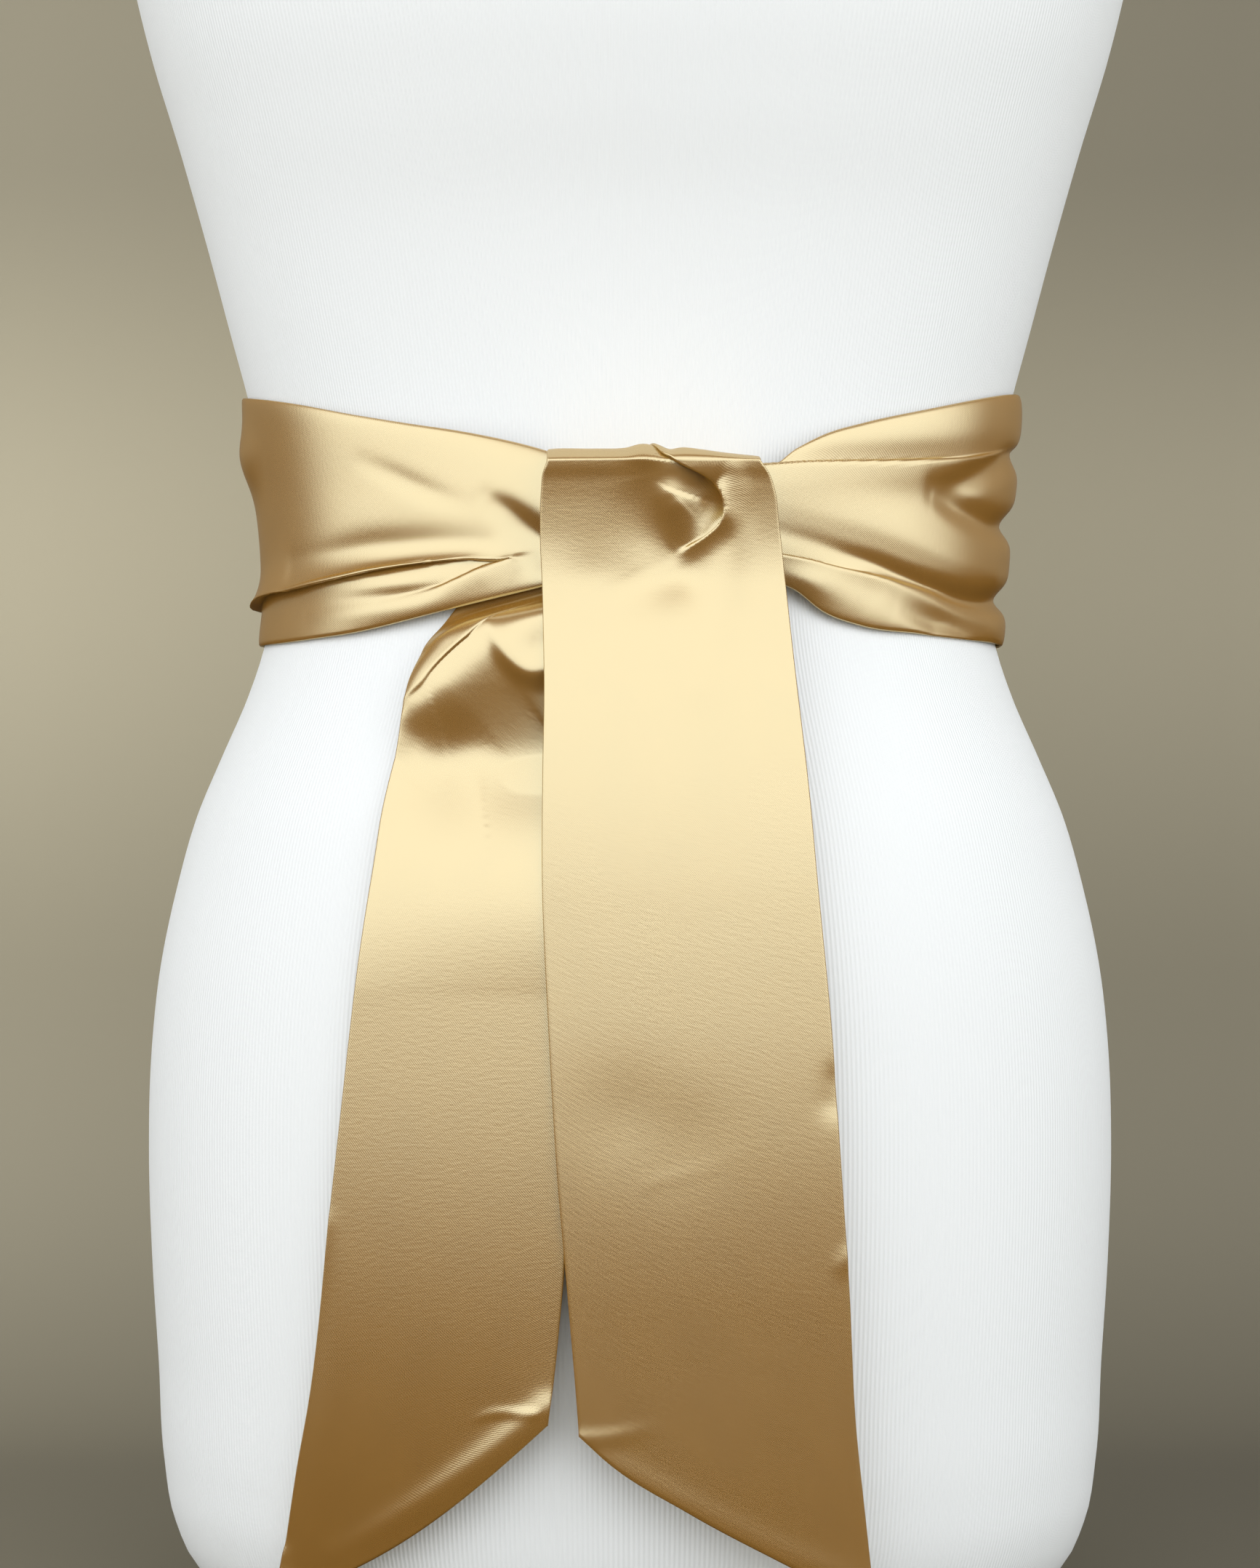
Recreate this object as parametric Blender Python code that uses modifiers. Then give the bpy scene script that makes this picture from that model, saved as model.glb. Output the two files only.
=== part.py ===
"""A satin sash tied round the waist of a limbless dress form, in metres, +Z up, front towards -Y.

The sash is one strip of satin 90 mm wide. It goes once round the waist and is tied in a plain half knot:
one end comes up over the knot and falls in front of it, the other leaves the knot low on the left.
Each stretch that shows is a wall of its own. A stretch starts as a flat grid in millimetres, its folds move the
grid's points along the cloth and off it, and then the cloth is laid on the surface that carries it.
The origin is the middle of the dress form's base, which stands on the ground.
"""

import math
from collections import namedtuple

import bmesh
import bpy
import numpy as np

# Driving sizes, in millimetres until they are placed
MM = 0.001
CLOTH_WALL = 1.2
TURN_MM = 115.0  # the sash's length for one radian round the waist
KNOT_TOP = 396.0  # height at which the front tail starts to roll over the knot
ROLL_RISE = 10.8  # how far the roll stands above that
ROLL_BACK_LIFT = 1.15  # the roll's hidden leg, off the dress form
ROLL_BACK_LEG = 9.0  # how far that leg runs down again
TAIL_ARCH_RADIUS = 200.0  # the front tail's soft arch from edge to edge
TAIL_MIDDLE = 10.0
HANG_FROM = 240.0  # below this height the under tail hangs free of the belly
HANG_BEND = 0.0003  # how quickly it bends back below that, per millimetre

Section = namedtuple("Section", "height half_width front back")
FORM_SECTIONS = [
    Section(0, 108, 66, 80),
    Section(4, 124, 78, 94),
    Section(12, 139, 88, 104),
    Section(24, 152.5, 96, 112),
    Section(40, 160.5, 102, 117.5),
    Section(62, 164.4, 106, 121),
    Section(95, 166.2, 110, 124.5),
    Section(130, 168.4, 113.5, 126),
    Section(168, 169.6, 116.5, 125.8),
    Section(205, 168.6, 118.6, 121),
    Section(235, 165.3, 119.4, 114),
    Section(262, 159.6, 118.4, 106.5),
    Section(287, 152.5, 115.2, 99.5),
    Section(308, 143.7, 110.4, 94.5),
    Section(328, 135, 104.6, 90),
    Section(348, 128.6, 99.2, 86.5),
    Section(370, 126, 94.8, 84.5),
    Section(392, 127, 93, 84),
    Section(414, 130.3, 93, 85),
    Section(434, 135, 94.5, 87),
    Section(455, 140.7, 97.5, 90),
    Section(485, 148.7, 104, 94.3),
    Section(520, 158.6, 115, 99.5),
    Section(555, 169.2, 124.4, 104),
    Section(584, 176, 127.5, 107),
    Section(615, 180.3, 124.5, 109),
    Section(648, 182, 115.5, 109),
    Section(680, 181.4, 104.8, 106),
    Section(704, 178, 95.6, 102),
    Section(722, 171, 88.2, 97),
    Section(738, 155.5, 80.5, 91),
    Section(752, 132.5, 73, 85),
    Section(765, 106, 66, 79),
    Section(777, 83, 59, 73),
    Section(790, 66.5, 53.5, 67.5),
    Section(808, 58.5, 50, 63.5),
    Section(832, 56, 49, 62),
    Section(849, 55, 48, 61),
    Section(854, 51, 44, 57),
]

# The sash round the waist: its edges, how far it stands off the form, and how far it puffs out between its edges
Wrap = namedtuple("Wrap", "turn bottom top lift puff")
WRAP_ROWS = [
    Wrap(9, 369, 396, 9.5, 1.0),
    Wrap(15, 367, 400, 8.5, 1.5),
    Wrap(20, 364.3, 403.6, 7.0, 2.0),
    Wrap(24, 361.5, 408.2, 5.5, 2.5),
    Wrap(29, 354.5, 413.4, 3.6, 3.0),
    Wrap(35.5, 350.3, 417.6, 2.4, 3.5),
    Wrap(48, 348.2, 423.6, 1.35, 4.0),
    Wrap(72, 346.7, 432.4, 1.35, 6.2),
    Wrap(90, 346.3, 435.4, 1.35, 6.8),
    Wrap(130, 347.5, 436.5, 1.35, 3.6),
    Wrap(180, 349, 437.5, 1.35, 2.0),
    Wrap(230, 348, 437, 1.35, 2.4),
    Wrap(270, 346.5, 434.4, 1.35, 3.0),
    Wrap(304, 346.7, 426.3, 1.35, 2.6),
    Wrap(317, 348.6, 421, 2.2, 2.4),
    Wrap(326.5, 351.9, 416.8, 3.0, 2.2),
    Wrap(337.5, 357, 411.6, 4.8, 2.0),
    Wrap(347, 361.7, 404.6, 7.2, 1.8),
    Wrap(352, 364.5, 400.5, 8.6, 1.5),
    Wrap(356, 367, 397, 9.5, 1.0),
]

# Soft folds: a row for each, its path as (turn or across, height) and its height off the cloth along that path
Soft = namedtuple("Soft", "path start middle end width")
# Pleats: the cloth on the left of the path's direction laps over the cloth on its right
Pleat = namedtuple("Pleat", "path start middle end sunk width lap")

WRAP_SOFTS = [
    Soft(((347, 386), (339, 395.5), (328, 401)), -3.4, -2.4, -0.2, 4.5),
    Soft(((336, 389), (325, 399), (313, 411)), -1.6, -1.4, -0.1, 5.0),
    Soft(((344, 371), (331, 363), (319, 358)), -1.8, -1.5, -0.3, 3.0),
    Soft(((51, 401), (70, 396), (90, 388), (128, 386)), -3.0, -6.6, -0.8, 5.2),
    Soft(((22, 386), (37, 376), (58, 366), (84, 362), (128, 364)), -3.2, -5.4, -1.4, 4.4),
    Soft(((23, 371.5), (34, 368.4), (46, 365)), -0.9, -0.8, -0.2, 1.8),
    Soft(((78, 413), (100, 413.5), (140, 407)), -4.2, -5.6, -0.3, 4.6),
    Soft(((130, 376), (165, 371), (205, 378)), -0.4, -2.6, -0.5, 5.0),
    Soft(((150, 402), (190, 407), (240, 399)), -0.5, -2.4, -0.5, 5.5),
    Soft(((215, 388), (245, 384), (268, 391)), -0.3, -2.0, -0.2, 4.5),
]
WRAP_PLEATS = [
    Pleat(((226, 367), (250, 363), (275, 363.5), (302, 366), (316, 368.2), (328, 370.4), (342, 371.3)),
          1.0, 6.4, 2.2, 1.0, 4.0, 5.0),
    Pleat(((88, 414.5), (76, 412.5), (64, 409.5), (37, 404.2), (20, 401)), 1.5, 3.4, 2.2, 0.8, 3.6, 4.4),
]

# The front tail: its two edges and how far it hangs in front of the form's axis
Tail = namedtuple("Tail", "height left right forward")
FRONT_TAIL = [
    Tail(28, -12.8, 79.4, 115),
    Tail(67, -14.8, 75, 118.4),
    Tail(91, -16.2, 72.4, 120.5),
    Tail(136, -19.8, 70, 124.4),
    Tail(173, -23, 67.5, 127),
    Tail(223, -26, 64, 128.4),
    Tail(265, -27.9, 60, 127.5),
    Tail(298, -27.9, 57, 125.2),
    Tail(330, -27.5, 53.4, 122.2),
    Tail(360, -28.2, 50.6, 119),
    Tail(382, -28.9, 47.6, 117.4),
    Tail(396, -27.6, 45.4, 118),
]
HemPoint = namedtuple("HemPoint", "share height")
FRONT_HEM = [HemPoint(0, 91), HemPoint(0.08, 84), HemPoint(0.37, 66.6), HemPoint(0.7, 49), HemPoint(1, 32.6)]
FRONT_SOFTS = [
    Soft(((-2, 404), (4, 390), (12, 372)), -1.0, -2.2, -2.6, 5.0),
    Soft(((13.5, 393), (14.5, 389)), 1.6, 1.6, 1.6, 4.5),
    Soft(((-9, 369), (-4, 365)), -1.3, -1.3, -1.2, 8.0),
    Soft(((29, 371), (28, 340), (25, 312)), 1.6, 1.2, 0.1, 6.0),
    Soft(((40, 366), (40, 340), (38, 318)), -1.1, -0.9, -0.1, 5.5),
    Soft(((2, 196), (16, 190)), -1.3, -1.2, -1.0, 15.0),
    Soft(((-18, 166), (8, 173), (40, 180)), -0.5, 0.8, 0.3, 5.0),
    Soft(((66, 206), (64, 196)), -1.8, -1.8, -1.6, 7.0),
    Soft(((30, 120), (52, 84), (72, 60)), 0.6, 1.4, 0.8, 12.0),
]
FRONT_PLEATS = [
    Pleat(((9, 409), (19, 403.5), (27, 396.5), (31.4, 388), (30.6, 380), (24, 373.4), (16, 368.6)),
          1.2, 1.8, 0.9, 5.2, 3.4, 2.6),
]

# The under tail: a row for each line across it, from its outer edge to its inner edge
Fan = namedtuple("Fan", "outer_x outer_z inner_x inner_z")
UNDER_TAIL = [
    Fan(-20, 361, -17, 338),
    Fan(-41, 359, -15, 326),
    Fan(-57, 355, -13, 315),
    Fan(-67, 343.5, -11.5, 306),
    Fan(-72.6, 330, -10.5, 298),
    Fan(-76, 313, -10, 289),
    Fan(-79.5, 294, -10, 278),
    Fan(-83, 272, -11, 264),
    Fan(-88.4, 236, -13.6, 236),
    Fan(-95.5, 175, -19.3, 178),
    Fan(-103.5, 108, -24.4, 128),
    Fan(-110.4, 70, -25.5, 110),
    Fan(-117, 28, -26.4, 94),
]
UNDER_HEM_BOW = 6.5  # the slanted end bows down this far
UNDER_LIFT = 3.4  # off the belly that it lies on
UNDER_LEAST = 1.4  # its folds come no nearer to the belly than this
UNDER_TUCK = 1.7  # off the form where it goes up behind the wrap's lower edge
TUCK_RUN = 8.0  # how far below that edge it starts to go in
KNOT_PUSH = 3.2  # the knot pushes it this much further out, round the place below
PUSH_ACROSS, PUSH_UP, PUSH_WIDE, PUSH_TALL = -20.0, 332.0, 24.0, 20.0
UNDER_SOFTS = [
    Soft(((-72, 331), (-58, 340), (-34, 351)), 5.0, 4.6, 2.4, 6.5),
    Soft(((-41, 346), (-35, 338), (-31, 333)), 1.6, 3.0, 3.4, 4.6),
    Soft(((-50, 332), (-40, 331)), 2.4, 1.6, 1.0, 7.0),
    Soft(((-72, 314), (-55, 311), (-34, 317), (-20, 318)), -3.0, -2.0, -3.4, 8.0),
    Soft(((-50, 190), (-60, 150)), -1.4, -1.2, -0.8, 14.0),
    Soft(((-30, 104), (-52, 84), (-90, 56)), 1.2, 1.6, 1.4, 9.0),
    Soft(((-100, 116), (-104, 96)), -1.8, -1.8, -1.4, 7.0),
]
UNDER_PLEATS = [
    Pleat(((-70, 326.5), (-62, 334), (-50, 343), (-40, 349), (-30, 354)), 0.8, 2.6, 1.6, 1.2, 3.2, 3.4),
]

# The knot: the short loop of the front tail that goes under and round the two ends of the wrap
LOOP_LEFT, LOOP_RIGHT = -13.0, 37.0
LOOP_FRONT = 110.0  # how far its front lies in front of the form's axis
LOOP_TOP, LOOP_BOTTOM_TURN, LOOP_BACK_TOP = 387.0, 367.0, 384.4
LOOP_DROP = 7.5
LOOP_SWELL = 1.5  # its middle stands this much further out than its sides

SATIN = ("satin", (0.60, 0.42, 0.20, 1.0), 0.34, 0.45)
JERSEY = ("jersey", (0.86, 0.86, 0.85, 1.0), 0.85, 0.0)


def smooth(at, knots, values):
    """A smooth curve through the values at the knots, read at the places asked for and level past its ends."""
    knots, values = np.asarray(knots, float), np.asarray(values, float)
    slopes = np.gradient(values, knots)
    at = np.clip(at, knots[0], knots[-1])
    left = np.clip(np.searchsorted(knots, at) - 1, 0, len(knots) - 2)
    step = knots[left + 1] - knots[left]
    f = (at - knots[left]) / step
    return (
        (1 + 2 * f) * (1 - f) ** 2 * values[left]
        + f * (1 - f) ** 2 * step * slopes[left]
        + f**2 * (3 - 2 * f) * values[left + 1]
        + f**2 * (f - 1) * step * slopes[left + 1]
    )


def column(rows, name):
    """One named column of a table."""
    return [getattr(row, name) for row in rows]


def read(rows, key, name, at):
    """A table's column as a smooth curve over its key column."""
    return smooth(at, column(rows, key), column(rows, name))


def spaced(start, end, count, focus, reach, crowding):
    """Places from start to end, closer together near the focus."""
    fine = np.linspace(start, end, 600)
    density = 1 + crowding * np.exp(-(((fine - focus) / reach) ** 2))
    total = np.concatenate([[0], np.cumsum((density[1:] + density[:-1]) / 2)])
    return np.interp(np.linspace(0, total[-1], count), total, fine)


def form_point(turn, height):
    """A point on the dress form. The turn is in radians from the front, positive towards +X."""
    half_width = read(FORM_SECTIONS, "height", "half_width", height)
    front = read(FORM_SECTIONS, "height", "front", height)
    back = read(FORM_SECTIONS, "height", "back", height)
    depth = np.where(np.cos(turn) > 0, front, back)
    return np.stack([half_width * np.sin(turn), -depth * np.cos(turn), height + 0 * turn], -1)


def belly_depth(across, height):
    """How far the form's front stands before its axis, at a place across it."""
    half_width = read(FORM_SECTIONS, "height", "half_width", height)
    front = read(FORM_SECTIONS, "height", "front", height)
    return front * np.sqrt(np.clip(1 - (across / half_width) ** 2, 0.02, 1))


def path_frame(across, up, path):
    """For each point: how far along the path its nearest place is, 0 to 1, its signed distance, and the path's normal."""
    stations = np.linspace(0, 1, len(path))
    fine = np.linspace(0, 1, 160)
    line = np.stack([smooth(fine, stations, [p[k] for p in path]) for k in (0, 1)], -1)
    tangent = np.gradient(line, axis=0)
    tangent /= np.linalg.norm(tangent, axis=1, keepdims=True)
    gap = np.stack([across, up], -1)[..., None, :] - line
    nearest = np.argmin((gap**2).sum(-1), -1)
    offset = np.take_along_axis(gap, nearest[..., None, None], -2)[..., 0, :]
    direction = tangent[nearest]
    normal = np.stack([-direction[..., 1], direction[..., 0]], -1)
    return fine[nearest], (offset * normal).sum(-1), (offset * direction).sum(-1), normal


def along(share, fold):
    """A fold's height at a place along its path."""
    return smooth(share, (0, 0.5, 1), (fold.start, fold.middle, fold.end))


def folded(across, up, softs, pleats, unit):
    """Where the folds move each point of the flat cloth, along it and off it. unit turns path's first number into mm."""
    moved_across, moved_up, off = across.copy(), up.copy(), np.zeros_like(across)
    for fold in softs:
        path = [(a * unit, z) for a, z in fold.path]
        share, side, past, _ = path_frame(across, up, path)
        off += along(share, fold) * np.exp(-(side**2 + past**2) / fold.width**2)
    for fold in pleats:
        path = [(a * unit, z) for a, z in fold.path]
        share, side, past, normal = path_frame(across, up, path)
        fade = np.exp(-((past / fold.width) ** 2))
        height = along(share, fold) * fade
        s = side / fold.width
        strength = height / max(fold.start, fold.middle, fold.end)
        lip = 0.5 + 0.5 * np.tanh(2.2 * s)
        off += height * lip * np.exp(-((np.maximum(s, 0) / 3.2) ** 2))
        off -= strength * fold.sunk * (1 - lip) * np.exp(-((np.minimum(s, 0) / 2.8) ** 2))
        slide = -strength * fold.lap * s * np.exp(0.5 - 0.5 * s**2)
        moved_across += slide * normal[..., 0]
        moved_up += slide * normal[..., 1]
    return moved_across, moved_up, off


def laid(across, up, off, surface):
    """The cloth's points on the surface that carries it, raised off it along its normals."""
    reach = 0.4
    along_across = surface(across + reach, up) - surface(across - reach, up)
    along_up = surface(across, up + reach) - surface(across, up - reach)
    normal = np.cross(along_across, along_up)
    normal /= np.linalg.norm(normal, axis=-1, keepdims=True)
    return surface(across, up) + normal * off[..., None]


def wrap_surface(across, up):
    """The waist that the wrap lies on, moved out by the wrap's lift."""
    turn = across / TURN_MM
    degrees = np.degrees(turn)
    point = form_point(turn, up)
    lift = read(WRAP_ROWS, "turn", "lift", degrees)
    outward = np.stack([np.sin(turn), -np.cos(turn), 0 * turn], -1)
    return point + outward * lift[..., None]


def wrap_points(columns, rows):
    """The wrap, from its end at the knot's right, round the back, to its end at the knot's left."""
    degrees, share = np.meshgrid(columns, rows)
    bottom = read(WRAP_ROWS, "turn", "bottom", degrees)
    top = read(WRAP_ROWS, "turn", "top", degrees)
    across = np.radians(degrees) * TURN_MM
    up = bottom + (top - bottom) * share
    across_moved, up_moved, off = folded(across, up, WRAP_SOFTS, WRAP_PLEATS, math.radians(1) * TURN_MM)
    puff = read(WRAP_ROWS, "turn", "puff", degrees) * np.sqrt(np.sin(np.pi * np.clip(share, 0.001, 0.999)))
    return laid(across_moved, up_moved, np.maximum(off + puff, 0), wrap_surface)


def tail_surface(across, up):
    """The front tail's sheet. Above the knot's top it rolls over it and down behind it."""
    height = np.minimum(up, KNOT_TOP)
    forward = read(FRONT_TAIL, "height", "forward", height)
    forward = forward - (across - TAIL_MIDDLE) ** 2 / (2 * TAIL_ARCH_RADIUS)
    over = np.maximum(up - KNOT_TOP, 0)
    angle = np.clip(over / ROLL_RISE, 0, math.pi)
    down = np.maximum(over - math.pi * ROLL_RISE, 0)
    behind = belly_depth(across, KNOT_TOP - down) + ROLL_BACK_LIFT
    depth = behind + (forward - behind) * (1 + np.cos(angle)) / 2
    return np.stack([across, -depth, height + ROLL_RISE * np.sin(angle) - down], -1)


def front_tail_points(columns, rows):
    """The front tail, from its slanted end up over the roll to its hidden end. rows run from 0 to 1 and past it."""
    share, place = np.meshgrid(columns, rows)
    hem = read(FRONT_HEM, "share", "height", share)
    up = np.where(place <= 1, hem + (KNOT_TOP - hem) * place, KNOT_TOP + (place - 1) * 100)
    left = read(FRONT_TAIL, "height", "left", np.minimum(up, KNOT_TOP))
    right = read(FRONT_TAIL, "height", "right", np.minimum(up, KNOT_TOP))
    across, up, off = folded(left + (right - left) * share, up, FRONT_SOFTS, FRONT_PLEATS, 1)
    return laid(across, up, off, tail_surface)


def below_the_wrap(across, up):
    """0 where the under tail is tucked behind the wrap's lower edge, rising to 1 below it."""
    edge = read(WRAP_ROWS, "turn", "bottom", 360 + np.degrees(across / TURN_MM))
    return np.clip((edge - up) / TUCK_RUN, 0, 1)


def under_tail_surface(across, up):
    """The belly that the under tail lies on, and the free hang below it."""
    hanging = np.maximum(HANG_FROM - up, 0)
    depth = belly_depth(across, np.maximum(up, HANG_FROM)) - HANG_BEND * hanging**2
    by_the_knot = KNOT_PUSH * np.exp(
        -(((across - PUSH_ACROSS) / PUSH_WIDE) ** 2) - ((up - PUSH_UP) / PUSH_TALL) ** 2
    )
    lift = UNDER_TUCK + (UNDER_LIFT - UNDER_TUCK + by_the_knot) * below_the_wrap(across, up)
    return np.stack([across, -(depth + lift), up], -1)


def under_tail_points(columns, rows):
    """The under tail, from its gathered start in the knot to its slanted end."""
    share, place = np.meshgrid(columns, rows)
    stations = np.linspace(0, 1, len(UNDER_TAIL))
    outer_x, outer_z, inner_x, inner_z = (
        smooth(place, stations, column(UNDER_TAIL, name)) for name in Fan._fields
    )
    bow = UNDER_HEM_BOW * np.sin(np.pi * share) * np.clip((place - 0.8) / 0.2, 0, 1) ** 2
    across = outer_x + (inner_x - outer_x) * share
    up = outer_z + (inner_z - outer_z) * share - bow
    across, up, off = folded(across, up, UNDER_SOFTS, UNDER_PLEATS, 1)
    off = np.maximum(off, UNDER_LEAST - UNDER_LIFT) * below_the_wrap(across, up)
    return laid(across, up, off, under_tail_surface)


def knot_points(columns, rows):
    """The knot's loop: down its front, round below the wrap's ends, and up behind them. rows run from 0 to 1."""
    across, place = np.meshgrid(LOOP_LEFT + (LOOP_RIGHT - LOOP_LEFT) * columns, rows)
    front_run = LOOP_TOP - LOOP_BOTTOM_TURN
    turn_run = math.pi * LOOP_DROP
    back_run = LOOP_BACK_TOP - LOOP_BOTTOM_TURN
    run = place * (front_run + turn_run + back_run)
    angle = np.clip((run - front_run) / LOOP_DROP, 0, math.pi)
    back_rise = np.maximum(run - front_run - turn_run, 0)
    height = LOOP_TOP - np.minimum(run, front_run) - LOOP_DROP * np.sin(angle) + back_rise
    behind = belly_depth(across, LOOP_BOTTOM_TURN + back_rise) + ROLL_BACK_LIFT
    swell = LOOP_SWELL * np.cos(np.pi * (columns - 0.5))[None, :]
    front = LOOP_FRONT - (across - TAIL_MIDDLE) ** 2 / (2 * TAIL_ARCH_RADIUS) + swell
    depth = behind + (front - behind) * (1 + np.cos(angle)) / 2
    return np.stack([across, -depth, height], -1)


def finish_of(name, colour, roughness, metallic):
    """A material with the piece's own colour."""
    material = bpy.data.materials.new(name)
    material.use_nodes = True
    shader = material.node_tree.nodes["Principled BSDF"]
    shader.inputs["Base Color"].default_value = colour
    shader.inputs["Roughness"].default_value = roughness
    shader.inputs["Metallic"].default_value = metallic
    material.diffuse_color = colour
    return material


def placed(obj, name, material, collection):
    """Names a new object and moves it to the model's collection."""
    obj.name = name
    obj.data.name = name
    obj.data.materials.append(material)
    for other in list(obj.users_collection):
        other.objects.unlink(obj)
    collection.objects.link(obj)
    return obj


def cloth(name, points, material, collection):
    """A cloth wall: a flat grid whose points go to their places, given its thickness by Solidify."""
    rows, columns = points.shape[0] - 1, points.shape[1] - 1
    bpy.ops.mesh.primitive_grid_add(x_subdivisions=columns, y_subdivisions=rows, size=2)
    obj = placed(bpy.context.object, name, material, collection)
    for vertex in obj.data.vertices:
        column_at = round((vertex.co.x + 1) / 2 * columns)
        row_at = round((vertex.co.y + 1) / 2 * rows)
        vertex.co = points[row_at, column_at] * MM
    wall = obj.modifiers.new("wall", "SOLIDIFY")
    wall.thickness = CLOTH_WALL * MM
    wall.offset = 0
    obj.data.shade_smooth()
    return obj


def dress_form(material, collection, sides=40):
    """The limbless torso: a capped cylinder cut into rings, each ring moved out to its section."""
    heights = column(FORM_SECTIONS, "height")
    mesh = bpy.data.meshes.new("dress_form")
    shape = bmesh.new()
    bmesh.ops.create_cone(
        shape, cap_ends=True, segments=sides, radius1=1, radius2=1, depth=heights[-1]
    )
    bmesh.ops.translate(shape, verts=shape.verts, vec=(0, 0, heights[-1] / 2))
    for height in heights[1:-1]:
        everything = shape.verts[:] + shape.edges[:] + shape.faces[:]
        bmesh.ops.bisect_plane(shape, geom=everything, plane_co=(0, 0, height), plane_no=(0, 0, 1))
    for vertex in shape.verts:
        turn = np.array(math.atan2(vertex.co.x, -vertex.co.y))
        vertex.co = form_point(turn, np.array(vertex.co.z)) * MM
    bmesh.ops.recalc_face_normals(shape, faces=shape.faces)
    shape.to_mesh(mesh)
    shape.free()
    obj = bpy.data.objects.new("dress_form", mesh)
    bpy.context.scene.collection.objects.link(obj)
    placed(obj, "dress_form", material, collection)
    mesh.shade_smooth()
    mesh.set_sharp_from_angle(angle=math.radians(40))
    return obj


def main():
    for old in list(bpy.data.objects):
        bpy.data.objects.remove(old)
    collection = bpy.data.collections.new("satin_sash_on_dress_form")
    bpy.context.scene.collection.children.link(collection)
    satin = finish_of(*SATIN)
    jersey = finish_of(*JERSEY)

    dress_form(jersey, collection)

    wrap_rows = np.unique(np.concatenate([spaced(0, 1, 11, 0.22, 0.12, 1.6), spaced(0, 1, 8, 0.78, 0.1, 1.0)]))
    wrap_columns = np.concatenate([
        np.linspace(9, 60, 15)[:-1],
        np.linspace(60, 300, 41)[:-1],
        np.linspace(300, 356, 16),
    ])
    cloth("sash_wrap", wrap_points(wrap_columns, wrap_rows), satin, collection)

    roll_end = 1 + (math.pi * ROLL_RISE + ROLL_BACK_LEG) / 100
    tail_rows = np.concatenate([
        np.linspace(0, 0.78, 17)[:-1],
        np.linspace(0.78, 1, 17)[:-1],
        np.linspace(1, roll_end, 14),
    ])
    tail_columns = spaced(0, 1, 19, 0.74, 0.16, 1.8)
    cloth("sash_front_tail", front_tail_points(tail_columns, tail_rows), satin, collection)

    under_rows = np.concatenate([np.linspace(0, 0.5, 20)[:-1], np.linspace(0.5, 1, 14)])
    under_columns = np.linspace(0, 1, 16)
    cloth("sash_under_tail", under_tail_points(under_columns, under_rows[::-1]), satin, collection)

    cloth("sash_knot", knot_points(np.linspace(0, 1, 8), np.linspace(1, 0, 16)), satin, collection)


main()
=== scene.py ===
# %% [markdown]
# # A gold satin sash on a dress form
#
# A satin sash is one long strip, sewn right sides together and turned, so that its long edges are soft
# folds with no stitches showing. Here it goes once round the waist of a white dress form and is tied in a
# plain half knot. The solids of the model are already built and packed, so this lesson only dresses them:
# each stretch of the sash gets a fine sheet with its folds placed one by one, and each surface gets its
# finish.
#
# The first step loads the solids. Everything here is in metres in the same frame as they are.

# %% Load the solids
import math
from collections import namedtuple

import bpy
import numpy as np
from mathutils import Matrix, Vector


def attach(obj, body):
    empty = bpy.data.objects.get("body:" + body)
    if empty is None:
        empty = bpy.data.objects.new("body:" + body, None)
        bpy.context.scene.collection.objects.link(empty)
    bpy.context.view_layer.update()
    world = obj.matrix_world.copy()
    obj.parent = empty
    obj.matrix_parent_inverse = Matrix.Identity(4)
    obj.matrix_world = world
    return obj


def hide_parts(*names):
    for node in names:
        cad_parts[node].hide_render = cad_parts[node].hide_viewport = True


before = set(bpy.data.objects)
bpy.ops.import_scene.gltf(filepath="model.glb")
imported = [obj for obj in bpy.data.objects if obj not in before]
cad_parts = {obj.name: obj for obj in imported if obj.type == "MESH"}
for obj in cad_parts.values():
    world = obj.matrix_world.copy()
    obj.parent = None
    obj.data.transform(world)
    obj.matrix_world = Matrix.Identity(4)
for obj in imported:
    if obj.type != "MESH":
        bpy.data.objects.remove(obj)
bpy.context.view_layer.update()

MM = 0.001
print("solids:", sorted(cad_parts))

# %% [markdown]
# The camera stands level, a little over a metre in front of the form, at the height of the lower band. The
# lens is long enough that the hips fill the frame. A level camera keeps upright edges upright, so no tilt
# has to be undone later. Setting the sensor's fit to auto makes its width the long side of the picture,
# whichever way round that is.

# %% Camera
CAMERA_AWAY = 1.2
CAMERA_HEIGHT = 0.298
LENS_MM, SENSOR_MM = 77.8, 36.0

bpy.ops.object.select_all(action="DESELECT")
bpy.ops.object.camera_add(location=(0, -CAMERA_AWAY, CAMERA_HEIGHT), rotation=(math.radians(90), 0, 0))
camera = bpy.context.object
camera.name = "camera"
camera.data.lens = LENS_MM
camera.data.sensor_width = SENSOR_MM
camera.data.sensor_fit = "AUTO"
bpy.context.scene.camera = camera
print("the frame is", round(SENSOR_MM / LENS_MM * CAMERA_AWAY, 3), "m tall at the form's middle")

# %% [markdown]
# Every shape below is a smooth curve through a few named values. A cubic through each pair of knots, with
# the slope at a knot taken from its neighbours, passes through the values and never overshoots far. A
# spline object could do the same, but a function can be asked for thousands of places at once.

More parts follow.
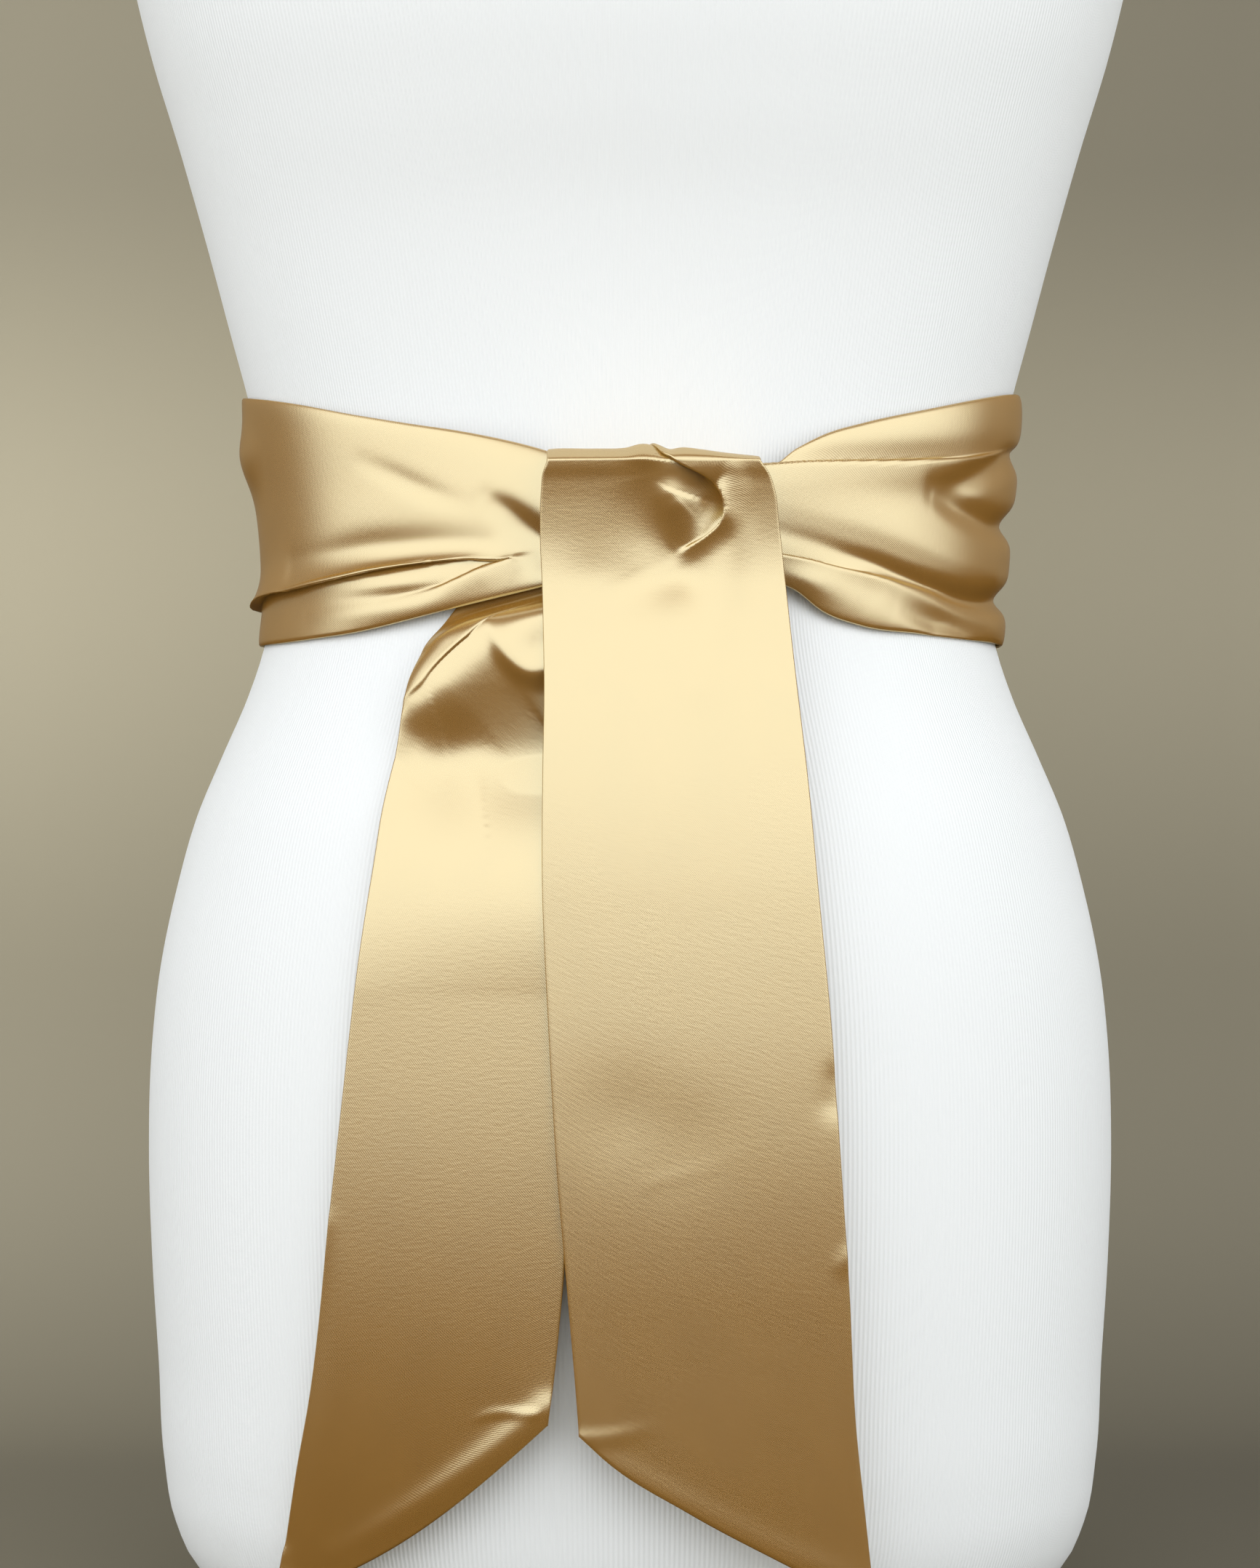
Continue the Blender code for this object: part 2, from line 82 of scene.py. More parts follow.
# %% Smooth curves through a few values
def smooth(at, knots, values):
    """A smooth curve through the values at the knots, level past its ends."""
    knots, values = np.asarray(knots, float), np.asarray(values, float)
    slopes = np.gradient(values, knots)
    at = np.clip(at, knots[0], knots[-1])
    left = np.clip(np.searchsorted(knots, at) - 1, 0, len(knots) - 2)
    step = knots[left + 1] - knots[left]
    f = (at - knots[left]) / step
    return (
        (1 + 2 * f) * (1 - f) ** 2 * values[left]
        + f * (1 - f) ** 2 * step * slopes[left]
        + f**2 * (3 - 2 * f) * values[left + 1]
        + f**2 * (f - 1) * step * slopes[left + 1]
    )


def read(rows, key, name, at):
    """One column of a table of named rows, as a smooth curve over its key column."""
    return smooth(at, [getattr(row, key) for row in rows], [getattr(row, name) for row in rows])


def step_between(at, start, end):
    """0 before start, 1 past end, and a soft step between them."""
    f = np.clip((at - start) / (end - start), 0, 1)
    return f * f * (3 - 2 * f)


print("half way from 0 to 1:", smooth(0.5, (0, 1), (0, 1)))

# %% [markdown]
# The sash lies on the dress form, so its shape starts from the form's. The solid was lofted through level
# rings, and each ring is as wide as its widest points and as deep as its front and back. Reading those
# four numbers at each height of the solid gives the same smooth body again, at any fineness, with nothing
# measured twice.

# %% The dress form's rings, read from its solid
Ring = namedtuple("Ring", "height half_width front back")
ONE_LEVEL = 0.02  # points closer in height than this, in millimetres, are on one ring
FLANK_LEAST = 0.02  # keeps the slope at the form's flanks finite


def rings_of(node):
    """The rings of a lofted solid, in millimetres, from the lowest to the highest."""
    points = np.array([v.co for v in node.data.vertices]) / MM
    heights = np.unique(points[:, 2].round(2))
    rings = []
    for height in heights:
        ring = points[np.abs(points[:, 2] - height) < ONE_LEVEL]
        rings.append(Ring(height, ring[:, 0].max(), -ring[:, 1].min(), ring[:, 1].max()))
    return rings


FORM = rings_of(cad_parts["dress_form"])


def form_point(turn, height):
    """A point on the dress form, in millimetres. The turn is in radians from the front towards +X."""
    half_width = read(FORM, "height", "half_width", height)
    front, back = (read(FORM, "height", side, height) for side in ("front", "back"))
    depth = np.where(np.cos(turn) > 0, front, back)
    return np.stack([half_width * np.sin(turn), -depth * np.cos(turn), height + 0 * turn], -1)


def belly_depth(across, height):
    """How far the form's front stands before its axis, in millimetres, at a place across it."""
    half_width = read(FORM, "height", "half_width", height)
    front = read(FORM, "height", "front", height)
    return front * np.sqrt(np.clip(1 - (across / half_width) ** 2, FLANK_LEAST, 1))


print(len(FORM), "rings, the highest at", round(FORM[-1].height), "mm")

# %% [markdown]
# A fold in cloth is either soft or sharp. A soft one is a ridge or a trough along a path. A pleat is
# sharp: the cloth on one side slides over the cloth on the other, so that a section through it is an S.
# Both are given by a path on the flat cloth, and by how high and how wide they are. Most sizes are given
# at even steps from the path's start to its end, because a real fold is seldom even. Cloth simulation
# could make folds too, but not these folds, and the photograph shows where each one runs.

# %% Folds placed one by one
Soft = namedtuple("Soft", "path rise left right")
Pleat = namedtuple("Pleat", "path rise sunk width lap outer inner")
PATH_STEPS = 60
REACH_WIDTHS = 2.6  # a fold moves nothing further away than this many times its width
LIP_SHARPNESS = 2.2  # how quickly a pleat's upper layer steps down, for its width
SLOPE_STEP = 0.4  # a surface's slope is read this far to each side, in millimetres


def along(share, sizes):
    """A size along a path: one number all the way, or several at even steps from its start to its end."""
    sizes = np.atleast_1d(sizes)
    if len(sizes) == 1:
        return sizes[0] + 0 * share
    return smooth(share, np.linspace(0, 1, len(sizes)), sizes)


def beside(across, up, path):
    """How points lie by a path: share of the way, distance left, distance past its ends, left direction."""
    stations = np.linspace(0, 1, len(path))
    fine = np.linspace(0, 1, PATH_STEPS)
    line = np.stack([smooth(fine, stations, [p[k] for p in path]) for k in (0, 1)], -1)
    tangent = np.gradient(line, axis=0)
    spacing = np.linalg.norm(tangent, axis=1)
    tangent /= spacing[:, None]
    gap = np.stack([across, up], -1)[:, None, :] - line
    nearest = np.argmin((gap**2).sum(-1), -1)
    offset = gap[np.arange(len(nearest)), nearest]
    direction, step = tangent[nearest], spacing[nearest]
    left = np.stack([-direction[:, 1], direction[:, 0]], -1)
    ahead = (offset * direction).sum(-1)
    share = np.clip((nearest + ahead / step) / (PATH_STEPS - 1), 0, 1)
    past = ahead - (share * (PATH_STEPS - 1) - nearest) * step
    return share, (offset * left).sum(-1), past, left


def folded(across, up, softs, pleats, unit=1.0):
    """Where the folds move the points of the flat cloth, along it and off it.

    unit turns the first number of each point of a path into millimetres.
    """
    shape = across.shape
    across, up = across.ravel().copy(), up.ravel().copy()
    off = np.zeros_like(across)
    for fold in list(softs) + list(pleats):
        path = [(a * unit, z) for a, z in fold.path]
        reach = REACH_WIDTHS * max(np.max(fold[-1]), np.max(fold[-2]))
        near = np.ones(len(across), bool)
        for axis, place in enumerate((across, up)):
            places = [p[axis] for p in path]
            near &= (place > min(places) - reach) & (place < max(places) + reach)
        near = np.flatnonzero(near)
        share, side, past, left = beside(across[near], up[near], path)
        if isinstance(fold, Soft):
            left_width, right_width = along(share, fold.left), along(share, fold.right)
            width = np.where(side > 0, left_width, right_width)
            ends = 2 * past / (left_width + right_width)
            off[near] += along(share, fold.rise) * np.exp(-((side / width) ** 2) - ends**2)
            continue
        s = side / along(share, fold.width)
        outer, inner = along(share, fold.outer), along(share, fold.inner)
        lip = 0.5 + 0.5 * np.tanh(LIP_SHARPNESS * s)
        fade = np.exp(-((past / outer) ** 2))
        raised = lip * np.exp(-((np.maximum(side, 0) / outer) ** 2))
        lowered = (1 - lip) * np.exp(-((np.minimum(side, 0) / inner) ** 2))
        off[near] += along(share, fold.rise) * fade * raised - along(share, fold.sunk) * fade * lowered
        fade = np.exp(-((past / along(share, fold.width)) ** 2))
        slide = -along(share, fold.lap) * fade * s * np.exp(0.5 - 0.5 * s**2)
        across[near] += slide * left[:, 0]
        up[near] += slide * left[:, 1]
    return across.reshape(shape), up.reshape(shape), off.reshape(shape)


def laid(across, up, off, surface):
    """The cloth's points on the surface that carries it, raised off it along its normals."""
    by_across = surface(across + SLOPE_STEP, up) - surface(across - SLOPE_STEP, up)
    by_up = surface(across, up + SLOPE_STEP) - surface(across, up - SLOPE_STEP)
    normal = np.cross(by_across, by_up)
    normal /= np.linalg.norm(normal, axis=-1, keepdims=True)
    return surface(across, up) + normal * off[..., None]


print("a fold's path is read at", PATH_STEPS, "places")

# %% [markdown]
# A sheet of cloth is made from a flat grid: its points go to their places, and Solidify gives it a wall.
# The rows and columns crowd together where a pleat is tight. The turned edge of a sash is thinner than its
# middle, so the outermost points are in a vertex group that thins the wall there, which rounds the edge
# without more faces. The grid's own UV map is stretched to the cloth's real size in metres, so that every
# weave below has one scale.

# %% From points to a sheet with a wall
SASH_WIDTH = 90.0
CLOTH_WALL = 0.8
EDGE_SHARE = 0.35  # the wall at the very edge, as a share of the full wall
SIDE_EDGE = 0.005  # the row just inside a long edge, as a share of the width
FINE_STEPS = 800
Focus = namedtuple("Focus", "place reach crowding")


def spaced(start, end, count, focuses):
    """Places from start to end, closer together near each focus."""
    fine = np.linspace(start, end, FINE_STEPS)
    density = 1 + sum(f.crowding * np.exp(-(((fine - f.place) / f.reach) ** 2)) for f in focuses)
    total = np.concatenate([[0], np.cumsum((density[1:] + density[:-1]) / 2)])
    return np.interp(np.linspace(0, total[-1], count), total, fine)


def with_edges(places, edge):
    """The same places with one more row just inside each end, so that the wall can thin there."""
    inner = places[(places > places[0] + edge) & (places < places[-1] - edge)]
    return np.concatenate([[places[0], places[0] + edge], inner, [places[-1] - edge, places[-1]]])


def sheet(name, points, flat_across, flat_along):
    """A closed sheet through the points, which are rows by columns in millimetres."""
    rows, columns = points.shape[0] - 1, points.shape[1] - 1
    bpy.ops.object.select_all(action="DESELECT")
    bpy.ops.mesh.primitive_grid_add(x_subdivisions=columns, y_subdivisions=rows, size=2, calc_uvs=True)
    piece = bpy.context.object
    piece.name = piece.data.name = name
    count = len(piece.data.vertices)
    flat = np.empty(count * 3)
    piece.data.vertices.foreach_get("co", flat)
    flat = flat.reshape(-1, 3)
    column_at = np.rint((flat[:, 0] + 1) / 2 * columns).astype(int)
    row_at = np.rint((flat[:, 1] + 1) / 2 * rows).astype(int)
    piece.data.vertices.foreach_set("co", (points[row_at, column_at] * MM).ravel())
    corners = np.empty(len(piece.data.loops), int)
    piece.data.loops.foreach_get("vertex_index", corners)
    uv = np.stack([flat_across[row_at, column_at], flat_along[row_at, column_at]], -1)[corners] * MM
    piece.data.uv_layers[0].data.foreach_set("uv", uv.ravel())
    rim = (column_at == 0) | (column_at == columns) | (row_at == 0) | (row_at == rows)
    inside = piece.vertex_groups.new(name="full_wall")
    inside.add(np.flatnonzero(~rim).tolist(), 1.0, "REPLACE")
    wall = piece.modifiers.new("wall", "SOLIDIFY")
    wall.thickness = CLOTH_WALL * MM
    wall.offset = 0
    wall.vertex_group = inside.name
    wall.thickness_vertex_group = EDGE_SHARE
    bpy.ops.object.modifier_apply(modifier=wall.name)
    bpy.ops.object.shade_smooth()
    triangles = sum(len(face.vertices) - 2 for face in piece.data.polygons)
    print(name, triangles, "triangles")
    return piece


def lengths_along(points, axis=0):
    """How far along the cloth each row of points is, in millimetres, or each column with axis=1."""
    steps = np.linalg.norm(np.diff(points, axis=axis), axis=-1).mean(1 - axis)
    return np.concatenate([[0], np.cumsum(steps)])


print("cloth wall", CLOTH_WALL, "mm, sash", SASH_WIDTH, "mm wide")

# %% [markdown]
# ## The wrap
#
# The stretch round the waist is pulled tight at the front, where it is gathered into the knot, and spreads
# out to its full width at the sides and back. Its two edges, how far it stands off the form and how far it
# puffs out between its edges are one table, by the angle round the waist. On the left a long pleat laps
# the upper cloth over the lower. On the right the cloth is pulled into four rolls that show as scallops in
# the outline.

# %% The wrap's edges and folds
TURN_MM = 115.0  # the sash's length for one radian round the waist
Wrap = namedtuple("Wrap", "turn bottom top lift puff")
WRAP = [
    Wrap(9, 369, 396, 9.5, 1.0),
    Wrap(15, 367, 400, 8.5, 1.5),
    Wrap(20, 364.3, 403.6, 7.0, 2.0),
    Wrap(24, 361.5, 408.2, 5.5, 2.5),
    Wrap(29, 354.5, 413.4, 3.6, 3.0),
    Wrap(35.5, 350.3, 417.6, 2.4, 3.5),
    Wrap(48, 348.2, 423.6, 1.35, 4.0),
    Wrap(72, 346.7, 432.4, 1.35, 6.2),
    Wrap(90, 346.3, 435.4, 1.35, 6.8),
    Wrap(130, 347.5, 436.5, 1.35, 3.6),
    Wrap(180, 349, 437.5, 1.35, 2.0),
    Wrap(230, 348, 437, 1.35, 2.4),
    Wrap(270, 346.5, 434.4, 1.35, 3.0),
    Wrap(304, 346.7, 426.3, 1.35, 2.6),
    Wrap(317, 348.6, 421, 2.2, 2.4),
    Wrap(326.5, 351.9, 417.2, 3.0, 2.4),
    Wrap(337.5, 357, 412.8, 4.6, 2.8),
    Wrap(347, 361.7, 407.4, 6.4, 3.0),
    Wrap(352, 364.5, 403.5, 7.6, 2.6),
    Wrap(356, 367, 400, 8.6, 2.0),
]
WRAP_COLUMNS, WRAP_ROWS = 500, 66
WRAP_EDGE = 0.006  # the row just inside a long edge, as a share of the width
WRAP_LOOSE = (45, 70)  # the angles between which the lower edge comes to lie on the form
PUFF_LEAST = 0.001  # keeps a little of the puff at the very edges
WRAP_SOFTS = [
    # left: the wedge by the knot, the long thin crease, the fullness at the side
    Soft(((349, 375), (346, 380.6), (343, 386.8), (340, 391.6)),
         (-2.9, -2.7, -1.5, -0.3), (9, 8, 6, 4), (4.4, 4.2, 3.6, 3)),
    Soft(((318, 405.5), (323, 401), (328, 396.2), (332.5, 392.2), (337, 388.9)),
         (-0.15, -0.5, -0.1), (3.4, 3.6, 3.4), (3.6, 3.8, 3.6)),
    Soft(((262, 414.5), (275, 413.5), (288, 412.5)), (2.6, 3.4, 0.3), 10, 12),
    # left: the trough above the long pleat, and the two lobes below it
    Soft(((339, 374), (332, 375.2), (325, 375), (317, 374), (308, 371.3), (298, 368)),
         (-0.5, -1.5, -1.2), (3.6, 3.6, 4), (6, 6.5, 7)),
    Soft(((333, 365.5), (324, 363.5), (312, 362), (300, 360.5)),
         (0.5, 1.5, 1.2, 0), (2.8, 3, 3), (3, 3.4, 3.8)),
    Soft(((338, 364.5), (330, 357.3), (318, 355.3), (303, 354)),
         (0.4, 1, 0.9, 0), (6, 5, 4), (3.2, 3.6, 4)),
    # right: the trough under the rolled rim, the two that make the scallops, and the one by the knot
    Soft(((120, 409), (100, 413), (90, 414), (75, 411.6), (68, 407.6), (61, 403), (55.5, 400.2),
          (50, 399.2)),
         (-0.4, -3.8, -4.4, -3, -2.3, -2, -1.5, -0.6), (4, 4.6, 6), (4, 4.4, 3.4)),
    Soft(((135, 386), (108, 388), (90, 389.3), (72, 386.6), (66, 387.2), (60, 389.6), (55, 392),
          (50.5, 394.8)),
         (-0.4, -4.6, -5.4, -3, -2.3, -2.1, -1.7, -0.6), (5, 4.6, 3.6), (5, 5.6, 5)),
    Soft(((130, 363), (108, 363.6), (86, 362.6), (70, 360.2), (60, 360.6), (51.7, 363.6), (44.7, 367),
          (38.5, 370.6), (32.7, 373.5), (27.5, 376.5), (20.5, 380)),
         (-0.8, -4.8, -3.9, -2.3, -1.4, -0.6, -0.3), (5, 4.8, 4, 3, 2.6, 3, 3.4),
         (5, 4.6, 4.2, 3.2, 2.6, 2.8, 3)),
    Soft(((17, 392), (26, 388.5), (35, 385), (45, 380), (57, 374), (70, 371)),
         (0.4, 0.9, 0.8), (11, 12, 10), (7, 7, 6)),
    Soft(((20, 364), (27, 364), (34, 361)), (0.3, 0.7, 0.2), 4, 5),
    Soft(((43, 356), (54, 351.5), (68, 349)), (-0.3, -1.8, -0.6), (5.5, 6, 6), 4),
    # round the back: soft drags that run on from both sides
    Soft(((128, 386), (165, 381), (205, 386)), (-0.8, -2.2, -0.5), 6, 6),
    Soft(((132, 363), (165, 366), (200, 363)), (-0.6, -1.8, -0.4), 5, 5),
    Soft(((150, 408), (190, 413), (240, 406)), (-0.5, -2.2, -0.5), 7, 5),
    Soft(((205, 396), (240, 391), (268, 396)), (-0.3, -1.8, -0.2), 6, 5),
]
WRAP_PLEATS = [
    Pleat(((222, 364), (236, 361.5), (250, 360), (262, 359.4), (274, 360.4), (286, 363), (297.7, 364.4),
           (305.2, 365.8), (312.5, 367.3), (319.3, 369), (324.5, 370), (330.5, 370.8), (336, 371.3),
           (342, 371.3)),
          (1.2, 5.6, 1.6), (0.2, 0.8, 0.5), (4, 3.4, 2.2), (1.2, 4.2, 1.2), (7, 5.2, 3.2), (6, 6, 4)),
    Pleat(((343, 371.3), (338.5, 368.2), (335.2, 365.2), (332, 362.5), (328.5, 360.7), (323, 358.5)),
          (0.8, 0.7, 0.1), (0.6, 0.6, 0.1), (1.6, 1.8, 2), (0.8, 0.7, 0.1), 4, 3.5),
    Pleat(((84, 418), (73.7, 414.5), (66, 411.6), (59, 409.2), (54, 407.8), (48.2, 406.5), (40.5, 405.2),
           (32.2, 404.2), (24.5, 403.2), (18, 401.8)),
          (0.6, 1.5, 1.2), (0.2, 1, 0.8), (3.6, 2, 1.8), (0.8, 2, 1.6), (8, 10, 11), 6),
    Pleat(((52, 362.4), (45.2, 363.8), (41.5, 365.3), (36.7, 367), (31.2, 368.8), (26.5, 370.8),
           (21, 372.6)),
          (0.1, 0.7, 0.9), (0.1, 0.5, 0.6), (2, 1.6, 1.6), (0.1, 0.8, 1), 3.5, 3.5),
]
HUG_SHARE, HUG_REACH = 0.15, 0.07  # right of the knot the lower edge rolls in towards the form


def wrap_surface(across, up):
    """The waist that the wrap lies on, moved out by the wrap's lift."""
    turn = across / TURN_MM
    lift = read(WRAP, "turn", "lift", np.degrees(turn))
    outward = np.stack([np.sin(turn), -np.cos(turn), 0 * turn], -1)
    return form_point(turn, up) + outward * lift[..., None]


def wrap_points(columns, rows):
    """The wrap, from its end at the knot's right, round the back, to its end at the knot's left."""
    degrees, share = np.meshgrid(columns, rows)
    bottom = read(WRAP, "turn", "bottom", degrees)
    top = read(WRAP, "turn", "top", degrees)
    across, up = np.radians(degrees) * TURN_MM, bottom + (top - bottom) * share
    across, up, off = folded(across, up, WRAP_SOFTS, WRAP_PLEATS, math.radians(1) * TURN_MM)
    arch = np.sqrt(np.sin(np.pi * np.clip(share, PUFF_LEAST, 1 - PUFF_LEAST)))
    puff = read(WRAP, "turn", "puff", degrees) * arch
    loose = read(WRAP, "turn", "lift", degrees) * (1 - step_between(degrees, *WRAP_LOOSE))
    hug = HUG_SHARE * loose * np.exp(-((share / HUG_REACH) ** 2))
    return laid(across, up, np.maximum(off + puff, 0) - hug, wrap_surface)


beside_the_knot = [Focus(35, 30, 1.0), Focus(325, 30, 1.0)]
wrap_columns = spaced(WRAP[0].turn, WRAP[-1].turn, WRAP_COLUMNS, beside_the_knot)
wrap_rows = with_edges(spaced(0, 1, WRAP_ROWS, [Focus(0.22, 0.12, 0.6), Focus(0.8, 0.1, 0.5)]), WRAP_EDGE)
points = wrap_points(wrap_columns, wrap_rows)
along_wrap = lengths_along(points, axis=1)
flat_along, flat_across = np.meshgrid(along_wrap, wrap_rows * SASH_WIDTH)
sash_wrap = sheet("satin_wrap", points, flat_across, flat_along)
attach(sash_wrap, "root")
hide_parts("sash_wrap")
print("the wrap is", round(along_wrap[-1]), "mm long")

# %% [markdown]
# ## The front tail
#
# This end comes up behind the knot, rolls over its top and falls in front. Below the roll the cloth first
# tucks in a little, then runs out over the belly, and from there it leans back again to its slanted end.
# Satin shows that at once: the stretch that faces up a little is bright, and the stretches above and below
# it are brown. On the roll the right half laps over the left half and makes a deep pocket.

# %% The front tail's edges, profile and folds
KNOT_TOP = 401.5
ROLL_TURN = 5.3  # the cloth's length for one radian of the roll
ROLL_EDGE = 0.09  # how tight the roll's front edge is, as a share of the way over it
ROLL_BACK_LIFT = 1.15  # how far that stretch lies off the form
Roll = namedtuple("Roll", "across rise")
ROLL = [
    Roll(-30, 3.8), Roll(-26, 4.3), Roll(-12, 4.3), Roll(-1, 4.5), Roll(4.5, 5.4), Roll(8.5, 4.6),
    Roll(12.5, 3.2), Roll(17, 3.9), Roll(22, 3.6), Roll(30, 3.0), Roll(36, 2.5), Roll(41, 2.0),
    Roll(45, 0.9), Roll(48, 0.4),
]
ROLL_BACK_LEG = 9.0  # how far the cloth runs down again behind the roll
TAIL_ARCH_RADIUS = 200.0
TAIL_MIDDLE = 10.0
TAIL_ROWS, TAIL_COLUMNS = 320, 96
TAIL_END_EDGE = 0.0016  # the row just inside each end, as a share of the tail's height
PAST_TOP_MM = 100.0  # the length that one more in a row's place stands for, past the knot's top
Tail = namedtuple("Tail", "height left right")
FRONT_TAIL = [
    Tail(28, -12.8, 79.4),
    Tail(67, -14.8, 75),
    Tail(91, -16.2, 72.4),
    Tail(136, -19.8, 70),
    Tail(173, -23, 67.5),
    Tail(223, -26, 64),
    Tail(265, -27.9, 60),
    Tail(298, -27.9, 57),
    Tail(330, -27.5, 53.4),
    Tail(360, -28.2, 50.2),
    Tail(382, -28.9, 47.8),
    Tail(392.5, -28.5, 46.4),
    Tail(397.5, -28, 44.6),
    Tail(401.5, -26.6, 41.8),
    Tail(406, -25.8, 38.8),
    Tail(411, -25.4, 36.4),
    Tail(419, -25, 33),
    Tail(430, -24, 31),
]
Profile = namedtuple("Profile", "height forward")
TAIL_PROFILE = [
    Profile(28, 122.9), Profile(84, 126), Profile(121, 127.8), Profile(140, 128.6), Profile(158, 129.1),
    Profile(177, 129.35), Profile(195, 129.3), Profile(214, 129.05), Profile(232, 128.6), Profile(250, 128),
    Profile(270, 127.1), Profile(306, 124.2), Profile(330, 121.2), Profile(345, 118.8),
    Profile(357, 117.2), Profile(366, 116.35), Profile(375, 116.25), Profile(385, 116.95),
    Profile(392, 117.75), Profile(396.5, 118.45), Profile(399.5, 119.15), Profile(401.5, 119.5),
]
Hem = namedtuple("Hem", "share height")
FRONT_HEM = [Hem(0, 91), Hem(0.08, 84), Hem(0.37, 66.6), Hem(0.7, 49), Hem(1, 32.6)]
FRONT_SOFTS = [
    # the hump on the roll, and the long hollow that leads down from it, with a bump and a pocket beside it
    Soft(((4, 399), (4.5, 404), (4.5, 412)), (0.1, 0.6, 0.5), 4.5, 4.5),
    Soft(((5.5, 396), (7, 387), (9.5, 378), (12.8, 371), (14.4, 367)),
         (-0.6, -1.5, -2.4, -3, -3), (6, 6, 6, 8, 9), (7, 9, 10, 12, 13)),
    Soft(((13, 390.2), (14, 388)), 0.9, 4.6, 4.6),
    Soft(((29, 391.5), (28.6, 386.5), (24.4, 380.6), (19, 376.4), (15.5, 373)),
         (-4.2, -4.4, -2.9, -1.1, -0.2), (2.4, 2.4, 2.2, 2, 2), (10, 10, 8, 6, 5)),
    # the soft hollow on the left
    Soft(((-11, 361), (-3, 360)), -0.8, 11, 12),
    # the ridge outside the pocket, which runs on as a streak
    Soft(((29.5, 398), (31.5, 392), (33.3, 384), (33.6, 376), (31.5, 364), (27.5, 348), (23, 330)),
         (0.3, 0.7, 0.9, 0.6, 0.2), (4, 4, 5, 6, 7), (3.2, 3.4, 4.5, 6, 7)),
    # lower down: a soft hollow, a pinch at the right edge and two faint drags towards it
    Soft(((0, 192), (13, 186)), (-0.35, -0.3), 16, 18),
    Soft(((67, 203), (65.5, 197)), (-0.6, -0.5), 5, 5),
    Soft(((5, 171), (12, 173), (26, 176.5), (44, 186)), (0.03, 0.045, 0.02, 0), (2, 2.4, 4), (1.6, 2, 4)),
    Soft(((70, 147), (68, 145)), (0.45, 0.3), 3, 3),
    # the end, where the seam of the slanted hem pulls: a pucker at the corner and a low ridge along the edge
    Soft(((-16, 90.5), (-6, 91.5), (6, 94)), (0.4, 0.3, 0.05), 1.8, 3),
    Soft(((-8, 84), (12, 73), (36, 60), (60, 48), (76, 41)), (0.2, 0.25, 0.2, 0.2, 0.1), 4, 3.5),
]
FRONT_PLEATS = [
    Pleat(((5, 414), (10, 404.8), (16.3, 401.8), (22.4, 399.6), (27.6, 396.8), (30.6, 393), (31.8, 388.8),
           (31.4, 384.4), (28.9, 380.4), (24.2, 376.9), (19.8, 374.6), (16.2, 372.8)),
          (0.8, 1.8, 2, 1.6, 0.1), (0.3, 0.6, 0.6, 0.6, 0.1), (2.2, 2.2, 2.2, 2, 1.8),
          (1.2, 3.6, 4.4, 2.4, 0.2), (9, 7, 5, 2.8, 2.4), (3.5, 3.5, 3.5, 3.2, 3)),
]


def tail_surface(across, up):
    """The front tail's sheet. Above the knot's top it rolls over it and down behind it."""
    height = np.minimum(up, KNOT_TOP)
    forward = read(TAIL_PROFILE, "height", "forward", height)
    forward = forward - (across - TAIL_MIDDLE) ** 2 / (2 * TAIL_ARCH_RADIUS)
    over = np.maximum(up - KNOT_TOP, 0)
    angle = np.clip(over / ROLL_TURN, 0, math.pi)
    share = angle / math.pi
    back = share + ROLL_EDGE * (np.exp(-share / ROLL_EDGE) - np.exp((share - 1) / ROLL_EDGE))
    back = 0.5 + (back - 0.5) / (1 - 2 * ROLL_EDGE)
    down = np.maximum(over - math.pi * ROLL_TURN, 0)
    behind = belly_depth(across, KNOT_TOP - down) + ROLL_BACK_LIFT
    depth = forward + (behind - forward) * back
    rise = read(ROLL, "across", "rise", across) * np.sin(angle)
    return np.stack([across, -depth, height + rise - down], -1)


def front_tail_points(columns, rows):
    """The front tail, from its slanted end up over the roll. A row past 1 is past the knot's top."""
    share, place = np.meshgrid(columns, rows)
    hem = read(FRONT_HEM, "share", "height", share)
    up = np.where(place <= 1, hem + (KNOT_TOP - hem) * place, KNOT_TOP + (place - 1) * PAST_TOP_MM)
    left = read(FRONT_TAIL, "height", "left", np.minimum(up, KNOT_TOP))
    right = read(FRONT_TAIL, "height", "right", np.minimum(up, KNOT_TOP))
    across, up, off = folded(left + (right - left) * share, up, FRONT_SOFTS, FRONT_PLEATS)
    return laid(across, up, off, tail_surface)


roll_end = 1 + (math.pi * ROLL_TURN + ROLL_BACK_LEG) / PAST_TOP_MM
tail_rows = with_edges(spaced(0, roll_end, TAIL_ROWS, [Focus(1.02, 0.12, 2.5)]), TAIL_END_EDGE)
tail_columns = with_edges(spaced(0, 1, TAIL_COLUMNS, [Focus(0.7, 0.18, 1.0)]), SIDE_EDGE)
points = front_tail_points(tail_columns, tail_rows)
along_tail = lengths_along(points)
flat_across, flat_along = np.meshgrid(tail_columns * SASH_WIDTH, along_tail)
sash_front_tail = sheet("satin_front_tail", points, flat_across, flat_along)
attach(sash_front_tail, "root")
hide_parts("sash_front_tail")
print("the front tail is", round(along_tail[-1]), "mm long")

# %% [markdown]
# ## The under tail
#
# The other end leaves the knot below the left of the band, fans out over the belly and hangs. Where it is
# pinched its cloth stands up in a long roll with a crisp crease under it, and a hollow lies below the
# pinch. Each row of the table is a line across the tail, from its outer edge to its inner edge, so the fan
# and the slanted end are one surface.

